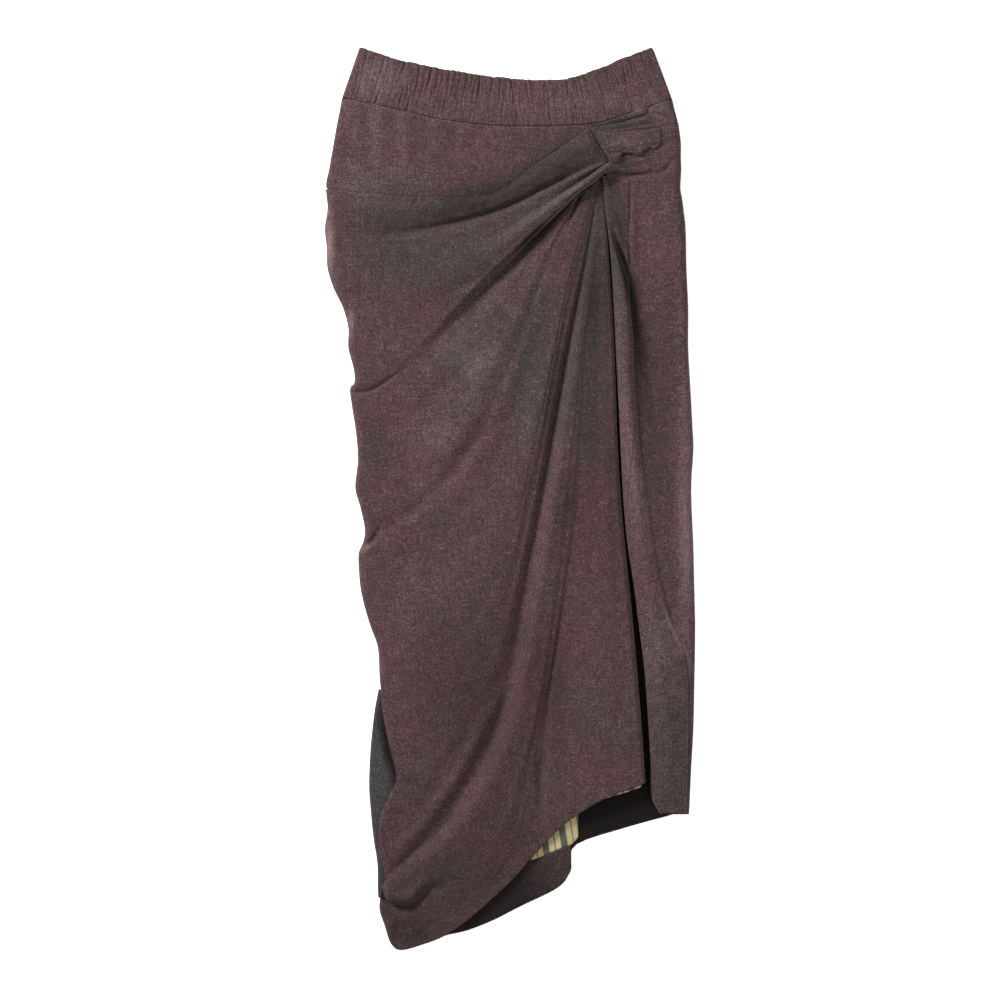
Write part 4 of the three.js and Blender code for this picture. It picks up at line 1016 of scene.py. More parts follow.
@dataclass
class RightSide:
    """The right side panel and the turned edge of the slit that lies over it."""

    # Down the panel: height, hidden edge, outline, lift, belly
    panel: Rows = (
        (424, 101, 193.4, 8.4, 0), (404, 114, 196.6, 8.2, 0), (392, 115, 196.5, 8.1, 0.2),
        (381, 113, 197, 8, 0.4), (370, 108.5, 196.5, 7.8, 0.8), (358, 109.5, 196, 7.6, 1.2),
        (346, 112, 198, 7.2, 1.8), (335, 115, 199.5, 6.8, 2.2), (312, 120, 202, 6.2, 3),
        (266, 124, 203, 5.4, 4), (220, 127, 205, 4.6, 4), (174, 130, 205, 4.6, 4),
        (128, 133, 207.5, 4.6, 3.6), (82, 136, 210, 4.6, 3.6), (59, 138, 211, 4.6, 3.6),
        (13, 142, 208.5, 4.6, 3), (-56, 149, 211, 4.6, 2), (-102, 156, 212, 4.6, 1),
        (-148, 164, 213, 4.6, 0), (-217, 172, 212, 4.6, 0), (-263, 176, 211, 4.6, 0),
        (-309, 178, 208.5, 4.6, 0), (-363, 182, 206, 4.6, 0),
    )
    # Down the turned edge: height, left side, ridge, right side, and the three heights
    edge: Rows = (
        (371, 105.2, 106.6, 109, 10.2, 10.8, 8.0), (360, 105.6, 108, 117, 10, 11.6, 7.6),
        (350, 106.6, 109.4, 127, 9.4, 11.8, 7.2), (340, 107.8, 111, 136, 9, 12, 6.9),
        (325, 109.4, 112.6, 137, 8.6, 12.4, 6.6), (310, 111.6, 115.6, 136.5, 8.6, 12.8, 6.5),
        (295, 113.2, 119, 136, 8.6, 13.2, 6.6), (280, 114.8, 123, 135.8, 8.6, 13.6, 7.4),
        (262, 116.2, 127.5, 136, 8.4, 14.2, 10.6), (225, 118.4, 131.5, 137.4, 8.4, 15, 12.2),
        (190, 120.2, 133.5, 140.5, 8.4, 15.4, 12.6), (150, 122.2, 135, 142, 8.4, 15.6, 12.6),
        (100, 124.8, 138, 145.5, 8.4, 15.4, 12.2), (50, 127.2, 141, 150, 8.4, 15.2, 11.8),
        (0, 129.8, 145, 157, 8.4, 14.8, 11.2), (-50, 134.4, 150, 164, 8.4, 14.2, 10.2),
        (-100, 142, 157, 174, 8.6, 13.6, 9.2), (-140, 147, 164, 184, 8.6, 13.2, 8.4),
        (-170, 151, 171, 197, 8.6, 13, 7.8), (-200, 154.4, 176, 203, 8.6, 12.8, 7.2),
        (-250, 158, 179, 204.5, 8.6, 12.4, 6.8), (-300, 161, 181, 203.5, 8.2, 12, 6.8),
        (-345, 163, 183, 202.5, 7.6, 11, 6.8), (-362, 172, 186, 202, 7.2, 10, 6.8),
    )
    turn: float = 9
    lowest: float = 3.3
    # The panel's ends, how far its outer top corner rises and over what length, and the groove along its foot
    top: float = 424
    foot: float = -363
    top_rise: float = 10
    rise_over: float = 43
    foot_groove: float = 1.2
    foot_groove_width: float = 1.8
    # The slope begins this far under the turned edge
    slope_lap: float = 4
    # The turned edge's ends, how far its right side turns down above and below, and where that changes
    edge_top: float = 371
    edge_foot: float = -362
    turned_down: tuple[float, float] = (0.8, 1.6)
    turn_changes: float = 290
    turn_changes_over: float = 40
    turned_width: float = 3
    # How many columns and rows its sheets have
    panel_rows: int = 300
    edge_columns: int = 37
    edge_rows: int = 280
    # Down the panel: height, how far it rises under the turned edge, and how wide that slope is
    slope: Rows = (
        (424, 0, 20), (205, 0, 20), (160, 1.6, 22), (120, 3.4, 26), (60, 4.6, 32), (20, 4.8, 34),
        (-20, 4.2, 34), (-90, 2.4, 28), (-140, 0.6, 20), (-180, 0, 20), (-363, 0, 20),
    )
    panel_creases: tuple[Crease, ...] = (
        Crease("over the tie", ((108, 419), (130, 421), (150, 423.5), (165, 426), (180, 430), (200, 433),
               (216, 436)), 2.6, 2.4, 1.6),
        Crease("under the tie", ((150, 399), (162, 404), (173, 408), (185, 411.5), (200, 416), (214, 420)),
               2.2, 2.4, 1.4),
        Crease("from the knot", ((112, 378), (120, 374), (134, 373), (150, 375), (170, 375), (179, 379),
               (187, 388), (201, 400)), 2.4, 2.6, 0.8),
        Crease("edge of the turned cloth", ((137.8, 375), (137.8, 350), (137, 330), (137.2, 306)), 1.8,
               1.5),
        Crease("under the wedge", ((116, 312), (121, 298), (127, 284), (132, 271), (137, 256)), 3.2, 8),
        Crease("hip dent", ((150, 352), (165, 340), (185, 334)), 0.8, 9),
        Crease("swell past the seam", ((128, 352), (140, 344), (142, 325), (142, 300), (141, 278),
               (141, 262)), -1.8, 4.5),
        Crease("side drop", ((186, 320), (188, 250), (192, 170), (196, 90)), 0.9, 8),
        Crease("low side drop", ((190, 60), (192, 0), (196, -80)), 0.8, 7),
    )
    edge_creases: tuple[Crease, ...] = (
        Crease("wedge beside the strip", ((117, 312), (119.5, 303), (123.5, 292), (128, 281), (132.5, 269),
               (137, 256), (141, 240)), 8.4, 4.2, 1.2),
        Crease("fan line", ((105, 373), (114, 364), (123, 355), (131, 345), (136, 333)), 2.4, 2.2),
        Crease("down the turned edge", ((116, 350), (121, 336), (127, 318), (130, 300)), 0.9, 4),
        Crease("line in the strip", ((146, 92), (142.5, 68), (139, 33), (135.5, -1), (133, -24)), 1.0, 1.1),
        Crease("low in the turned edge", ((176, -160), (184, -230), (190, -330)), 0.8, 7),
        Crease("across the corner", ((168, -200), (185, -214), (200, -222)), 0.6, 6),
        Crease("corner ridge", ((166, -260), (176, -300), (188, -350)), -0.7, 6),
    )

    def _panel(self) -> Surface:
        """Work out the panel's upper face."""
        left, right, lift, belly = columns_of(self.panel)
        outer = 1 - 0.1 * (1 - np.sin(np.linspace(0.05, math.pi / 2, 14)))
        shares = np.concatenate([np.linspace(0, 0.9, 62), outer])
        across, along = grid_of(shares, np.linspace(self.top, self.foot, self.panel_rows))
        x = lerp(left(along), right(along), across)
        near_top = 1 - smooth(np.clip((self.top - along) / self.rise_over, 0, 1))
        rise = self.top_rise * smooth(across) * near_top
        y = along + rise
        swell = belly(along) * smooth(np.clip(across * 1.6 - 0.4, 0, 1))
        height = lift(along) + swell + relief_of(self.panel_creases)(x, y) + self._slope(x, along)
        groove = self.foot_groove * bell(along - self.foot, self.foot_groove_width)
        height = np.maximum(height - groove, self.lowest)
        return x, y, rolled(height, FOOT, right(along) - x, self.turn)

    def _slope(self, x: Array, along: Array) -> Array:
        """Find how far the panel rises towards the turned edge, out of the shade beside it."""
        beside = columns_of(self.edge)[2](along)
        rise, width = (curve(along) for curve in columns_of(self.slope))
        return rise * (1 - smooth(np.clip((x - beside + self.slope_lap) / width, 0, 1)))

    def _edge(self) -> Surface:
        """Work out the turned edge's upper face, folded over at its left and its right side."""
        left, ridge, right, z_left, z_ridge, z_right = columns_of(self.edge)
        down = np.linspace(self.edge_top, self.edge_foot, self.edge_rows)
        across, along = grid_of(np.linspace(0, 2, self.edge_columns), down)
        inner = np.clip(across, 0, 1)
        outer = np.clip(across - 1, 0, 1)
        inner_x = lerp(left(along), ridge(along), inner ** 1.3)
        outer_x = lerp(ridge(along), right(along), outer)
        x = np.where(across < 1, inner_x, outer_x)
        climb = lerp(z_left(along), z_ridge(along), np.sin(inner * math.pi / 2))
        fall = lerp(z_ridge(along), z_right(along), smooth(outer))
        height = np.where(across < 1, climb, fall) + relief_of(self.edge_creases)(x, along)
        further = smooth(np.clip((self.turn_changes - along) / self.turn_changes_over, 0, 1))
        near_side = np.clip(1 - (right(along) - x) / self.turned_width, 0, 1)
        height = height - lerp(*self.turned_down, further) * (1 - np.sqrt(1 - near_side ** 2))
        return x, along, height

    def build(self, cloth: bpy.types.Material) -> None:
        """Make the side panel and the turned edge and dress them."""
        panel = Cloth("side_panel_cloth", self._panel()).build()
        finish_piece(panel, ["side_panel"], cloth)
        mossy = (DyeAndShadePatch(122, 330, 40, 70, 0, 0.9),)
        edge = Cloth("turned_edge_cloth", self._edge(), own_dye_and_shade=mossy).build()
        finish_piece(edge, ["turned_edge"], cloth)


@dataclass(frozen=True)
class Fold:
    """One fold of the wrap on its way from the knot to the outline.

    rim is the place on the outline where it runs out, crease how sharp its valley is, and x, y and z its
    stations. lap is how far the cloth hangs over towards the next fold near the knot, halfway and at the rim.
    hold is how long it keeps its height on the way to that fold: 1 for an even slope, more for a flat top and
    a late fall. fades is how much of the crease's sharpness is lost halfway to the rim.
    """

    name: str
    rim: float
    crease: float
    x: tuple[float, ...]
    y: tuple[float, ...]
    z: tuple[float, ...]
    lap: tuple[float, float, float] = (0, 0, 0)
    hold: float = 1.0
    fades: float = 0.0


STATIONS = (0, 0.08, 0.25, 0.5, 0.75, 0.9, 1)
LAP_STATIONS = (0, 0.08, 0.25, 0.6, 1)

# The wrap's outline down its left side: place across and along
LEFT_RIM = (
    (-213, 357), (-211, 335), (-214, 312), (-212, 290), (-211, 266), (-204, 243), (-193, 220), (-187, 197),
    (-187, 174), (-181, 151), (-180, 135), (-185, 127), (-183, 108), (-178, 75), (-176, 45), (-179, 13),
    (-173, -10), (-168, -35), (-170, -50), (-175, -62), (-175, -79), (-173, -102), (-168, -125),
    (-161, -148), (-153, -171), (-151, -204),
)
# Round its lower left corner: place across and along, foot, and 1 where the side turns down
CORNER_RIM = (
    (-149, -221, 6.8, 1), (-146, -250, 7.6, 1), (-139, -285, 8.4, 1), (-131, -320, 8.2, 1),
    (-140, -342, 7.2, 1), (-150, -368, 6.6, 1), (-151, -400, 6.6, 1), (-144, -433, 6.6, 1),
    (-148, -450, 6.6, 1), (-151, -471, 3.5, 1), (-145, -492, 0.4, 1), (-138, -512, 0.4, 0.8),
    (-126, -519, 2.4, 0.3),
)
# Along its hem: place across and along
HEM_RIM = (
    (-100, -512), (-75, -502), (-50, -485), (-20, -459), (5, -435), (25, -412), (45, -390), (66, -371),
    (88, -356), (112, -342), (135, -334), (155, -326),
)
HEM_FOOT = 4
OUTLINE = (
    *((x, y, FOOT, 1) for x, y in LEFT_RIM),
    *CORNER_RIM,
    *((x, y, HEM_FOOT, 0) for x, y in HEM_RIM),
)

FOLDS = (
    Fold("top edge", 0, 0, (92, 72, 30, -25, -110, -170), (429, 414, 386, 351, 348, 352),
         (8.2, 8, 6.6, 6.2, 6.2, 6.4, 6.6)),
    Fold("band", 0.8, 0, (103, 82, 38, -25, -112, -170), (410, 399, 374, 343, 330, 333),
         (8.4, 13, 13, 11.6, 10, 9, 8.5), (1.6, 2.2, 0), 2.6),
    Fold("band crease", 1.9, 1, (111, 85, 40, -25, -110, -168), (390, 380, 358, 330, 309, 305),
         (8.6, 9.5, 7.2, 6.2, 6.8, 8.0, 8.6), fades=0.15),
    Fold("small roll", 2.4, 0, (111, 84, 40, -25, -110, -168), (387, 374, 350, 318, 297, 294),
         (8.8, 13.5, 13.4, 12, 10.4, 9.4, 8.8)),
    Fold("small crease", 3, 0.5, (110, 82, 38, -25, -110, -168), (384, 366, 338, 302, 280, 278),
         (8.8, 11.5, 13.2, 13, 11.8, 10.4, 9)),
    Fold("hip roll", 4.2, 0, (108, 81, 38, -22, -110, -165), (381, 360, 327, 285, 245, 245),
         (9, 19, 20, 16.4, 13.5, 11.5, 9.5)),
    Fold("hip lip", 9.6, 0, (103, 80, 36, -25, -97, -150), (375, 355, 318, 262, 188, 147),
         (9, 17.4, 19.4, 14, 10.6, 9.8, 9), (6, 0, 0)),
    Fold("hip crease", 10.3, 1, (101, 78, 33, -30, -105, -154), (374.5, 350.5, 308, 243, 164, 131),
         (7.6, 9.4, 3.8, 4.2, 8.8, 9.2, 8.6), fades=0.9),
    Fold("side slope", 12.2, 0, (100.4, 76, 31, -22, -97, -148), (373.4, 347, 288, 212, 134, 108),
         (8, 11.4, 10, 11, 10.8, 10, 9)),
    Fold("faint crease", 13, 0.5, (100, 75.5, 34, -19, -88, -145), (372.6, 344, 281, 192, 117, 84),
         (8, 11.2, 11.8, 10.8, 9.8, 9.4, 9)),
    Fold("middle slope", 15, 0, (99.8, 76.5, 39, -10, -76, -140), (371.8, 345, 279, 172, 76, 28),
         (8, 12, 13, 12.8, 12, 10.8, 9)),
    Fold("long crease", 18, 0.6, (99.8, 78, 45, 0, -63, -130), (371, 343, 278, 155, 34, -25),
         (7.6, 10.4, 12.2, 11, 9.8, 8.4, 7)),
    Fold("narrow roll", 20, 0, (100, 81, 51, 8, -52, -122), (370.4, 342, 277, 152, 24, -48),
         (8, 11.5, 13.2, 12.4, 11.2, 10.2, 9.6)),
    Fold("second faint crease", 21.5, 0.5, (100.2, 84, 58, 17, -40, -118), (369.9, 340, 274, 144, 6, -78),
         (7.8, 12, 13.4, 11.8, 10.4, 9.8, 9.4)),
    Fold("left plain", 25, 0, (100.5, 88, 66, 31, -15, -95), (369.5, 334, 254, 92, -62, -165),
         (8, 12.5, 14, 14, 13.2, 12.4, 9)),
    Fold("notch line", 26.1, 0, (100.7, 88.3, 65.7, 30.7, -13.5, -90), (369.3, 329, 241, 70, -93, -201),
         (8, 12.3, 13.0, 12.8, 12.4, 11.8, 8.8)),
    Fold("left slope", 29, 0, (101, 88.8, 56.6, 17, -29, -84), (369.1, 306, 165, -40, -200, -289),
         (7.8, 11.4, 10.2, 9.8, 9.6, 9.6, 8.6), hold=1.3),
    Fold("great crease", 33, 0.25, (101.4, 90, 62, 25, -18, -84), (368.9, 297, 152, -57, -265, -375),
         (7.6, 9.4, 4.0, 3.8, 3.7, 4.2, 7.8)),
    Fold("great roll", 34.3, 0, (101.8, 96.4, 75, 44, 3, -66), (368.8, 297, 152, -57, -268, -390),
         (8, 12, 14.4, 15.4, 16, 14.6, 11)),
    Fold("pouch crease", 35.4, 0.1, (102.2, 98, 78.6, 54, 22, -42), (368.8, 297, 153, -52, -272, -432),
         (8, 12, 14.6, 14.8, 14.4, 11.4, 9)),
    Fold("corner slope", 38, 0, (102.6, 99.6, 82.4, 65, 33, -15), (368.8, 298, 158, -42, -258, -422),
         (8, 11.9, 13.8, 12.8, 11.4, 9.8, 8.4)),
    Fold("hem crease", 44.6, 0.15, (103, 101, 86.5, 76, 44, 37), (368.9, 300, 172, -18, -205, -320),
         (7.8, 11.6, 13.0, 11.0, 8.8, 8.2, 7.8)),
    Fold("hem roll", 45.2, 0, (103.4, 102.6, 93, 86, 53, 47), (369, 300, 172, -18, -205, -317),
         (8, 11.6, 12.8, 10.8, 9.6, 10, 9.6)),
    Fold("second hem crease", 46, 0.15, (103.8, 104.2, 100, 96, 61, 58), (369.2, 300, 172, -18, -203, -312),
         (7.8, 11.6, 12.8, 11.2, 9.4, 9.4, 9.6)),
    Fold("slit plain", 48, 0, (104.1, 107, 108.5, 111, 112, 111), (369.4, 302, 177, -8, -180, -285),
         (8, 12, 13.4, 13.4, 14.4, 15.2, 15.4)),
    Fold("slit roll", 49.8, 0, (104.4, 109.2, 115, 121.5, 137, 146), (369.7, 304, 185, 10, -160, -262),
         (8, 11.6, 12.6, 12.6, 13.6, 14.8, 15)),
    Fold("slit edge", 50, 0.6, (104.7, 111, 118.5, 126, 142, 150.5), (370.1, 306, 190, 17, -155, -258),
         (7.4, 8, 8, 8, 9, 10.5, 12)),
)


@dataclass
class Wrap:
    """The draped front: a fan of folds from the knot to the left side and the hem, with a free upper edge."""

    roll: float = 10
    # How the rows are shared out from the knot to the rim: closer at both ends
    row_marks: tuple[float, ...] = (0, 0.17, 0.56, 1)
    row_places: tuple[float, ...] = (0, 0.10, 0.66, 1)
    body_rows: int = 148
    # How far from the outline the rows in the turn lie
    turn_rows: tuple[float, ...] = (10, 8.2, 6.6, 5.2, 4, 3, 2.1, 1.4, 0.8, 0.35, 0.0)
    # How many columns there are, how few a gap may have, and how a rise counts beside a way across
    columns_budget: int = 298
    fewest: int = 5
    rise_weight: float = 3
    # How much longer a fold is than the straight way to its rim, and how late it is pulled to the outline
    slack: float = 1.08
    pull_power: int = 6
    # How deep the hem's groove is and how wide
    hem_groove: float = 0.8
    hem_groove_width: float = 1.2
    # How low a crease may press the cloth, and over how many rows by the rim both fade
    lowest: float = 3.5
    crease_rows: int = 5
    lowest_rows: int = 9
    creases: tuple[Crease, ...] = (
        Crease("knot notch", ((83, 357), (79.5, 348), (75, 338), (71, 326), (66, 314)), 4.2, 2.6, 1.3),
        Crease("band nick", ((-82, 346), (-70, 337), (-56, 325)), 2.2, 2.6, 1.6),
        Crease("second band nick", ((-104, 350), (-110, 341), (-113, 330)), 1.6, 2.6, 1.6),
        Crease("left notch line", ((-120, 150), (-140, 137), (-158, 126), (-172, 123), (-181, 125),
               (-187, 131)), 2.8, 2.6, 1.5),
        Crease("left notch lip", ((-150, 139), (-165, 133), (-180, 134)), -0.8, 4),
        Crease("second notch line", ((-146, -24), (-154, -40), (-162, -51), (-170, -54.5), (-180, -58)),
               2.8, 2.4),
        Crease("second notch lip", ((-147, -36), (-152, -50), (-160, -62)), -0.7, 4),
        Crease("drawn to the notch", ((-14, 114), (-40, 72), (-72, 28), (-107, -9), (-150, -36)), 1.4, 8),
        Crease("beside the draw", ((14, 114), (-10, 90), (-32, 68), (-56, 40), (-78, 12)), 1.0, 8),
        Crease("swell by the draw", ((-30, 110), (-60, 66), (-90, 26)), -0.9, 9),
        Crease("swell left of the great crease", ((-6, -215), (-29, -258), (-60, -318), (-95, -368),
               (-128, -410)), -5.0, 9.5, 1.5),
        Crease("low line of the great crease", ((-43, -338), (-77, -377), (-108, -401), (-127, -421),
               (-145, -434)), 3.0, 4.5),
        Crease("low upright line", ((34, -296), (34.5, -330), (37, -366)), 3.0, 5),
        Crease("side seam", ((-130.5, -464), (-130.5, -490), (-131, -516)), 2.4, 2.4),
        Crease("third notch line", ((-176, -78), (-169, -86), (-160, -92)), 0.7, 3),
        Crease("corner of the side", ((-131, -318), (-120, -326), (-110, -331), (-96, -343)), 2.6, 4.2),
        Crease("pouch line", ((-151, -428), (-149, -448), (-143, -462), (-131, -470.6), (-115, -470),
               (-103, -459), (-90.6, -447.7), (-70, -443)), 6.4, 3.4, 0.6),
        Crease("pouch edge", ((-151, -425), (-150.5, -444), (-145, -460), (-134, -469), (-120, -471)), 2.6,
               2.4),
        Crease("pouch swell", ((-143, -440), (-134, -456), (-118, -459), (-106, -450), (-94, -436)), -6.0,
               8.5),
        Crease("inner swell", ((-120, -380), (-118, -410), (-126, -440)), -0.9, 12),
        Crease("upper faint line", ((0, 271), (-30, 256), (-65, 240), (-95, 222)), 0.9, 5),
        Crease("left faint line", ((-24, 177), (-41, 160), (-64, 140), (-84, 125), (-107, 108)), 0.9, 7),
        Crease("soft dent", ((-100, 70), (-120, 40), (-135, 0)), 0.7, 12),
        Crease("soft swell", ((-60, 100), (-90, 60), (-110, 20)), -0.8, 16),
        Crease("low dent", ((-40, -120), (-70, -160), (-95, -210)), 0.7, 16),
        Crease("low swell", ((-20, -160), (-50, -220), (-80, -280)), -0.7, 18),
        Crease("hem line", ((105, -215), (107, -235), (109, -256)), 0.7, 4),
        Crease("light ridge", ((110, 20), (114, -60), (116, -140), (117, -200)), -0.8, 5),
        Crease("hem dent", ((90, -270), (96, -310), (100, -340)), 0.8, 8),
        Crease("hem swell", ((125, -240), (130, -290), (134, -326)), -0.8, 9),
        Crease("hip dent", ((-150, 285), (-120, 270), (-90, 262)), 0.7, 9),
        Crease("hip swell", ((-160, 240), (-130, 222), (-105, 210)), -0.8, 14),
        Crease("low middle dent", ((0, -330), (-20, -370), (-40, -410)), 0.8, 12),
    )

    def _steps(self, ends: Sequence[tuple[float, float]]) -> list[int]:
        """Share the columns out between the folds by how far apart they lie.

        Args:
            ends: Where each fold meets the outline.

        Returns:
            The number of columns in each gap.
        """
        gaps = []
        for a, b, rim_a, rim_b in zip(FOLDS, FOLDS[1:], ends, ends[1:]):
            spread = []
            for k in (2, 3, 4, 5):
                rise = self.rise_weight * (b.z[k] - a.z[k])
                spread.append(math.hypot(b.x[k] - a.x[k], b.y[k] - a.y[k], rise))
            spread.append(math.dist(rim_a, rim_b))
            gaps.append(max(sum(spread) / len(spread), 5.0) ** 0.8 + 2.0)
        scale = self.columns_budget / sum(gaps)
        return [max(self.fewest, round(gap * scale)) for gap in gaps]

    def surface(self) -> Surface:
        """Work out the wrap's upper face, a column at a time."""
        outline = [Curve(range(len(OUTLINE)), column) for column in zip(*OUTLINE)]
        ends = [(float(outline[0](fold.rim)), float(outline[1](fold.rim))) for fold in FOLDS]
        tracks = []
        for fold, (end_x, end_y) in zip(FOLDS, ends):
            tracks.append((
                Curve(STATIONS, (*fold.x, end_x)),
                Curve(STATIONS, (*fold.y, end_y)),
                Curve(STATIONS, fold.z),
                Curve(LAP_STATIONS, (0, 0, *fold.lap)),
            ))
        columns = []
        gaps = self._steps(ends)
        for i, steps in enumerate(gaps):
            is_last = i == len(gaps) - 1
            for k in range(steps + 1 if is_last else steps):
                columns.append(self._column(i, k / steps, tracks, ends, outline))
        x, y, z = (np.array(part) for part in zip(*columns))
        return x, y, self._creased(x, y, z)

    def _column(
        self,
        i: int,
        share: float,
        tracks: Sequence[tuple[Curve, ...]],
        ends: Sequence[tuple[float, float]],
        outline: Sequence[Curve],
    ) -> Surface:
        """Work out one column between two folds.

        Args:
            i: The number of the fold before it.
            share: How far it lies towards the next fold.
            tracks: Each fold's curves of place, height and lap.
            ends: Where each fold meets the outline.
            outline: The outline's curves.

        Returns:
            The column's places and heights.
        """
        (ax, ay, az, lap), (bx, by, bz, _) = tracks[i], tracks[i + 1]
        first, second = FOLDS[i], FOLDS[i + 1]
        rim = lerp(first.rim, second.rim, share)
        rim_x, rim_y, foot, turns = (float(curve(rim)) for curve in outline)
        start = (lerp(ax(0), bx(0), share), lerp(ay(0), by(0), share))
        length = self.slack * math.hypot(rim_x - start[0], rim_y - start[1])
        marks = np.interp(np.linspace(0, 1, self.body_rows), self.row_marks, self.row_places)
        inner = marks * (1 - (self.roll + 2) / length)
        s = np.concatenate([inner, 1 - np.array(self.turn_rows) / length])
        softening = smooth(np.clip((s - 0.2) / 0.35, 0, 1))
        near, far = (fold.crease * (1 - fold.fades * softening) for fold in (first, second))
        climb = (
            smooth(share) * (1 - (near + far) / 2)
            + near / 2 * math.sin(math.pi * share / 2)
            + far / 2 * (1 - math.cos(math.pi * share / 2))
        ) ** first.hold
        x_a, y_a, x_b, y_b = ax(s), ay(s), bx(s), by(s)
        reach = np.hypot(x_b - x_a, y_b - y_a) + 1e-6
        hang = lap(s) * math.sin(math.pi * share) ** 1.3
        pull_x = rim_x - lerp(ends[i][0], ends[i + 1][0], share)
        pull_y = rim_y - lerp(ends[i][1], ends[i + 1][1], share)
        x = lerp(x_a, x_b, share) + pull_x * s ** self.pull_power + hang * (x_b - x_a) / reach
        y = lerp(y_a, y_b, share) + pull_y * s ** self.pull_power + hang * (y_b - y_a) / reach
        z = lerp(az(s), bz(s), climb)
        turned = rolled(z, foot, (1 - s) * length, self.roll)
        hem = z - self.hem_groove * (1 - turns) * bell((1 - s) * length, self.hem_groove_width)
        return x, y, lerp(hem, turned, turns)

    def _creased(self, x: Array, y: Array, z: Array) -> Array:
        """Press the creases in, less over the last rows of each column and no lower than the cloth may go."""
        from_rim = x.shape[1] - 1 - np.arange(x.shape[1])
        change = relief_of(self.creases)(x, y) * np.clip(from_rim / self.crease_rows, 0, 1)
        least = self.lowest * np.clip(from_rim / self.lowest_rows, 0.1, 1)
        return np.maximum(z + change, np.minimum(z, least))

    def build(self, cloth: bpy.types.Material) -> None:
        """Make the wrap and dress it."""
        piece = Cloth("wrap_drape_cloth", self.surface()).build()
        finish_piece(piece, ["wrap_drape"], cloth)


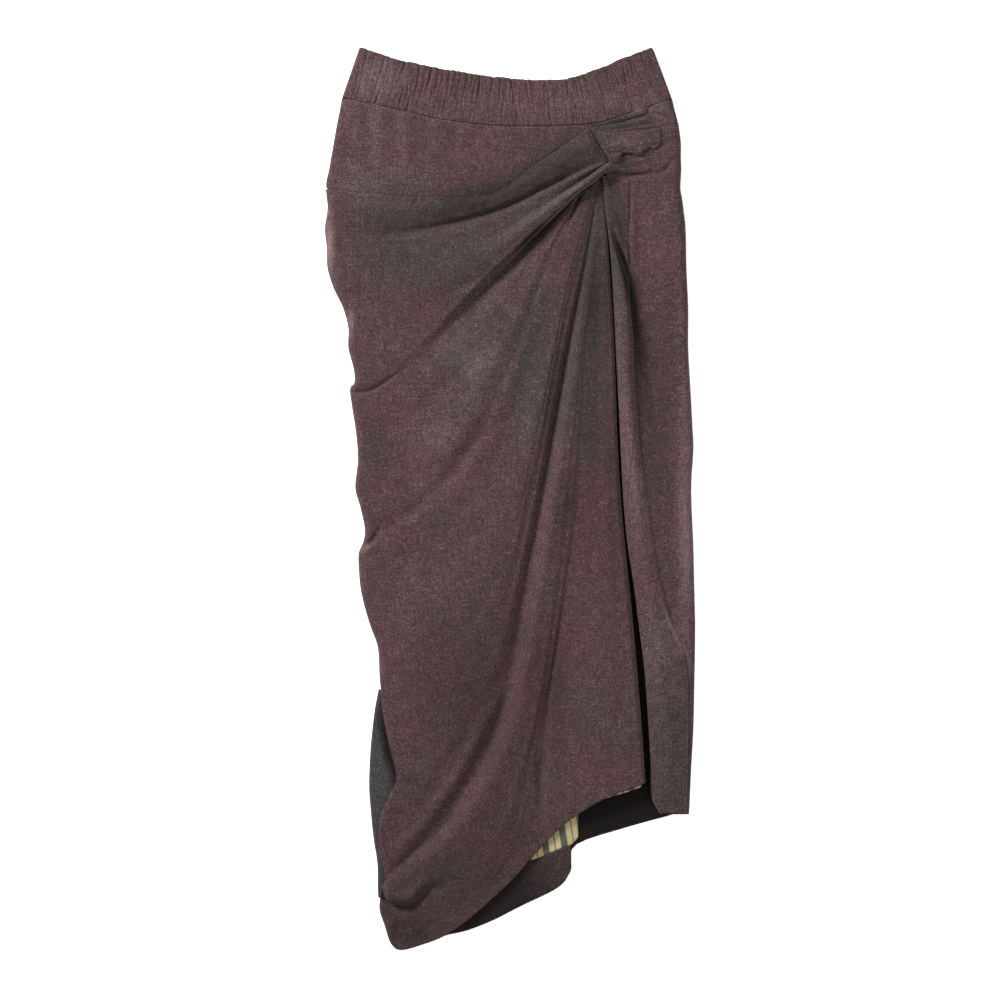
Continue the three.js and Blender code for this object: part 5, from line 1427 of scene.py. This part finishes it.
@dataclass
class Knot:
    """The knot at the hip: a tongue of cloth across the ends of the folds, and the tied end above it."""

    # Along the tongue: share, place across and along, half width, height of its sides, height of its crown
    tongue: Rows = (
        (0.00, 50, 336, 2.0, 18.6, 20.0), (0.10, 62, 345, 3.2, 17.6, 21.0),
        (0.20, 74, 353.6, 3.9, 16.0, 21.8), (0.30, 84, 360.6, 4.2, 14.6, 22.2),
        (0.40, 94, 368, 4.4, 13.2, 21.6), (0.50, 104, 376, 4.4, 11.8, 19.6),
        (0.57, 111, 381, 4.4, 10.8, 17.0), (0.66, 121, 384, 7.0, 9.4, 13.4),
        (0.76, 134, 386, 11.0, 8.6, 11.2), (0.88, 152, 389.5, 12.6, 7.9, 9.3),
        (1.00, 176, 395, 13.0, 6.6, 7.2),
    )
    # Along the tied end: place across, lower edge, upper edge, height
    tie: Rows = (
        (89.6, 424.6, 427.4, 12.2), (93.8, 416.6, 426.4, 12.8), (99.6, 405.2, 424, 13.6),
        (105.8, 395.6, 421.4, 14.4), (111, 388.8, 420.4, 15.0), (117, 386, 420.8, 15.2),
        (121.5, 385.8, 421.2, 15), (125.4, 389, 421.8, 14.4), (127.4, 395.6, 422, 13.8),
        (131, 397.6, 422.4, 13.2), (142, 397, 423.4, 12.2), (147, 395.4, 423.8, 11.8),
        (153, 400, 424.4, 11.3), (160, 404, 425.2, 10.6), (167, 403, 426.4, 9.8), (173, 408, 427.6, 8.8),
    )
    tie_wall: float = 1.4
    tie_crown: float = 1.0
    # How far the tied end's edges are rounded down, and over what width
    tie_round: float = 1.0
    tie_round_width: float = 1.8
    # How many columns and rows its sheets have
    tongue_columns: int = 150
    tongue_rows: int = 33
    tie_columns: int = 120
    tie_rows: int = 34
    tongue_creases: tuple[Crease, ...] = (
        Crease("along the tongue", ((60, 346), (78, 359), (94, 371), (106, 380), (116, 385)), 1.1, 1.3),
        Crease("pinch", ((98, 378), (102, 374), (106, 370)), 1.4, 1.4),
        Crease("middle of the tongue", ((114, 382), (128, 381), (146, 384), (162, 386)), 0.8, 2.6),
        Crease("upper fan line", ((126, 391), (140, 391), (156, 396)), 0.9, 2.6),
    )
    tie_creases: tuple[Crease, ...] = (
        Crease("fold of the tied end", ((108, 400), (114, 397.5), (122, 397.5), (130, 399)), 1.3, 1.8),
        Crease("lobe", ((112, 394), (119, 391), (126, 393)), -1.0, 3.5),
        Crease("pressed line", ((104, 414), (125, 411), (148, 412), (166, 416)), 0.7, 5),
        Crease("turned corner", ((158, 409), (163, 407), (170, 408)), 0.9, 1.8),
        Crease("upper dent", ((100, 424), (115, 419), (130, 418)), 0.6, 4),
        Crease("second dent", ((142, 400), (147, 405), (150, 412)), 0.8, 3),
    )

    def _tongue(self) -> Surface:
        """Work out the tongue, an arch of cloth that tapers into the fold and into the side panel."""
        px, py, half, side, crown = columns_of(self.tongue)
        half_turn = np.linspace(0, math.pi, self.tongue_rows)
        along, turn = grid_of(np.linspace(0, 1, self.tongue_columns), half_turn)
        ahead_x, ahead_y = px(along + 0.01) - px(along - 0.01), py(along + 0.01) - py(along - 0.01)
        length = np.hypot(ahead_x, ahead_y) + 1e-9
        out = half(along) * np.cos(turn)
        x = px(along) - out * ahead_y / length
        y = py(along) + out * ahead_x / length
        z = side(along) + (crown(along) - side(along)) * np.sin(turn) ** 0.75
        return x, y, z + relief_of(self.tongue_creases)(x, y) * np.sin(turn)

    def _tie(self) -> Surface:
        """Work out the tied end's upper face, rounded over at its edges."""
        low, high, lift = columns_of(self.tie)
        start, end = self.tie[0][0], self.tie[-1][0]
        x, share = grid_of(np.linspace(start, end, self.tie_columns), turned_shares(self.tie_rows, 0.08))
        y = lerp(low(x), high(x), share)
        crown = self.tie_crown * np.sin(math.pi * share)
        z = lift(x) + crown + relief_of(self.tie_creases)(x, y)
        inside = np.minimum(np.minimum(y - low(x), high(x) - y), np.minimum(x - start, end - x) + 0.4)
        near_edge = np.clip(1 - inside / self.tie_round_width, 0, 1)
        return x, y, z - self.tie_round * (1 - np.sqrt(1 - near_edge ** 2))

    def build(self, cloth: bpy.types.Material) -> None:
        """Make the tongue and the tied end and dress them."""
        tongue = Cloth("knot_cloth", self._tongue()).build()
        finish_piece(tongue, ["knot"], cloth)
        # A painted shade line down the tied end's left edge, where it meets the yoke
        painted_edge_shade = (DyeAndShadePatch(100, 407, 1.7, 28, 31, 0.0, -2.6),)
        tie = Cloth("tie_end_cloth", self._tie(), wall=self.tie_wall, own_dye_and_shade=painted_edge_shade).build()
        finish_piece(tie, ["tie_end"], cloth)


@dataclass
class Studio:
    """A pale floor, soft light from the upper left and a camera straight above."""

    pixel: float = 1.15
    centre_x: float = -12.0
    centre_y: float = -1.0
    height: float = 3.4
    # The camera's height counts from the middle of the cloth, this far above the floor
    middle: float = 0.008
    sensor: float = 36.0
    floor_drop: float = 0.0004
    daylight: float = 0.73

    def _floor(self) -> None:
        """Lay the floor just under the skirt."""
        slab = bmesh.new()
        bmesh.ops.create_grid(slab, x_segments=1, y_segments=1, size=6)
        mesh = bpy.data.meshes.new("floor")
        slab.to_mesh(mesh)
        slab.free()
        floor = bpy.data.objects.new("floor", mesh)
        floor.location.z = -self.floor_drop
        bpy.context.scene.collection.objects.link(floor)
        nodes = Nodes("floor_paper")
        white = (0.97, 0.97, 0.97, 1)
        paper = {"Base Color": white, "Roughness": 0.9, "Emission Color": white, "Emission Strength": 0.3}
        mesh.materials.append(nodes.finish(paper))

    def _lamp(self, name: str, place: tuple[float, float, float], size: float, power: float) -> None:
        """Hang one square light that faces the middle of the skirt."""
        light = bpy.data.lights.new(name, "AREA")
        light.shape = "SQUARE"
        light.size = size
        light.energy = power
        lamp = bpy.data.objects.new(name, light)
        lamp.location = place
        lamp.rotation_euler = (-Vector(place)).to_track_quat("-Z", "Y").to_euler()
        bpy.context.scene.collection.objects.link(lamp)

    def build(self) -> None:
        """Set up the floor, the lights and the camera."""
        self._floor()
        self._lamp("key", (-2.5, 2.3, 1.6), 1.2, 390)
        self._lamp("fill", (2.6, -0.4, 1.5), 1.8, 55)
        world = bpy.data.worlds.new("studio")
        world.use_nodes = True
        sky = world.node_tree.nodes["Background"]
        sky.inputs["Color"].default_value = (1, 1, 1, 1)
        sky.inputs["Strength"].default_value = self.daylight
        bpy.context.scene.world = world
        bpy.context.scene.view_settings.view_transform = "Standard"
        lens = bpy.data.cameras.new("camera")
        lens.sensor_width = self.sensor
        lens.lens = self.sensor * self.height / (1000 * self.pixel * MM)
        camera = bpy.data.objects.new("camera", lens)
        camera.location = (self.centre_x * MM, self.centre_y * MM, self.height + self.middle)
        bpy.context.scene.collection.objects.link(camera)
        bpy.context.scene.camera = camera


def main() -> None:
    """Build the skirt's pieces in order, from the surface up, and then the studio."""
    logging.basicConfig(level=logging.INFO, format="%(message)s")
    cloth = NappedCloth("napped_cloth").material()
    # A copy of the cloth dimmed nearly to black, painting the shade deep inside the opening
    inside = NappedCloth("shade_painted_inside_cloth", dimness=0.08, moss_bias=-0.3).material()
    grey = NappedCloth("grey_cloth", moss=(43, 44, 45), moss_bias=1.2, light_bias=-0.1).material()
    lining = StripedLining().material()
    Back().build(cloth, inside, grey, lining)
    Yoke().build(cloth)
    Waistband().build(cloth)
    RightSide().build(cloth)
    Wrap().build(cloth)
    Knot().build(cloth)
    Studio().build()


if __name__ == "__main__":
    main()
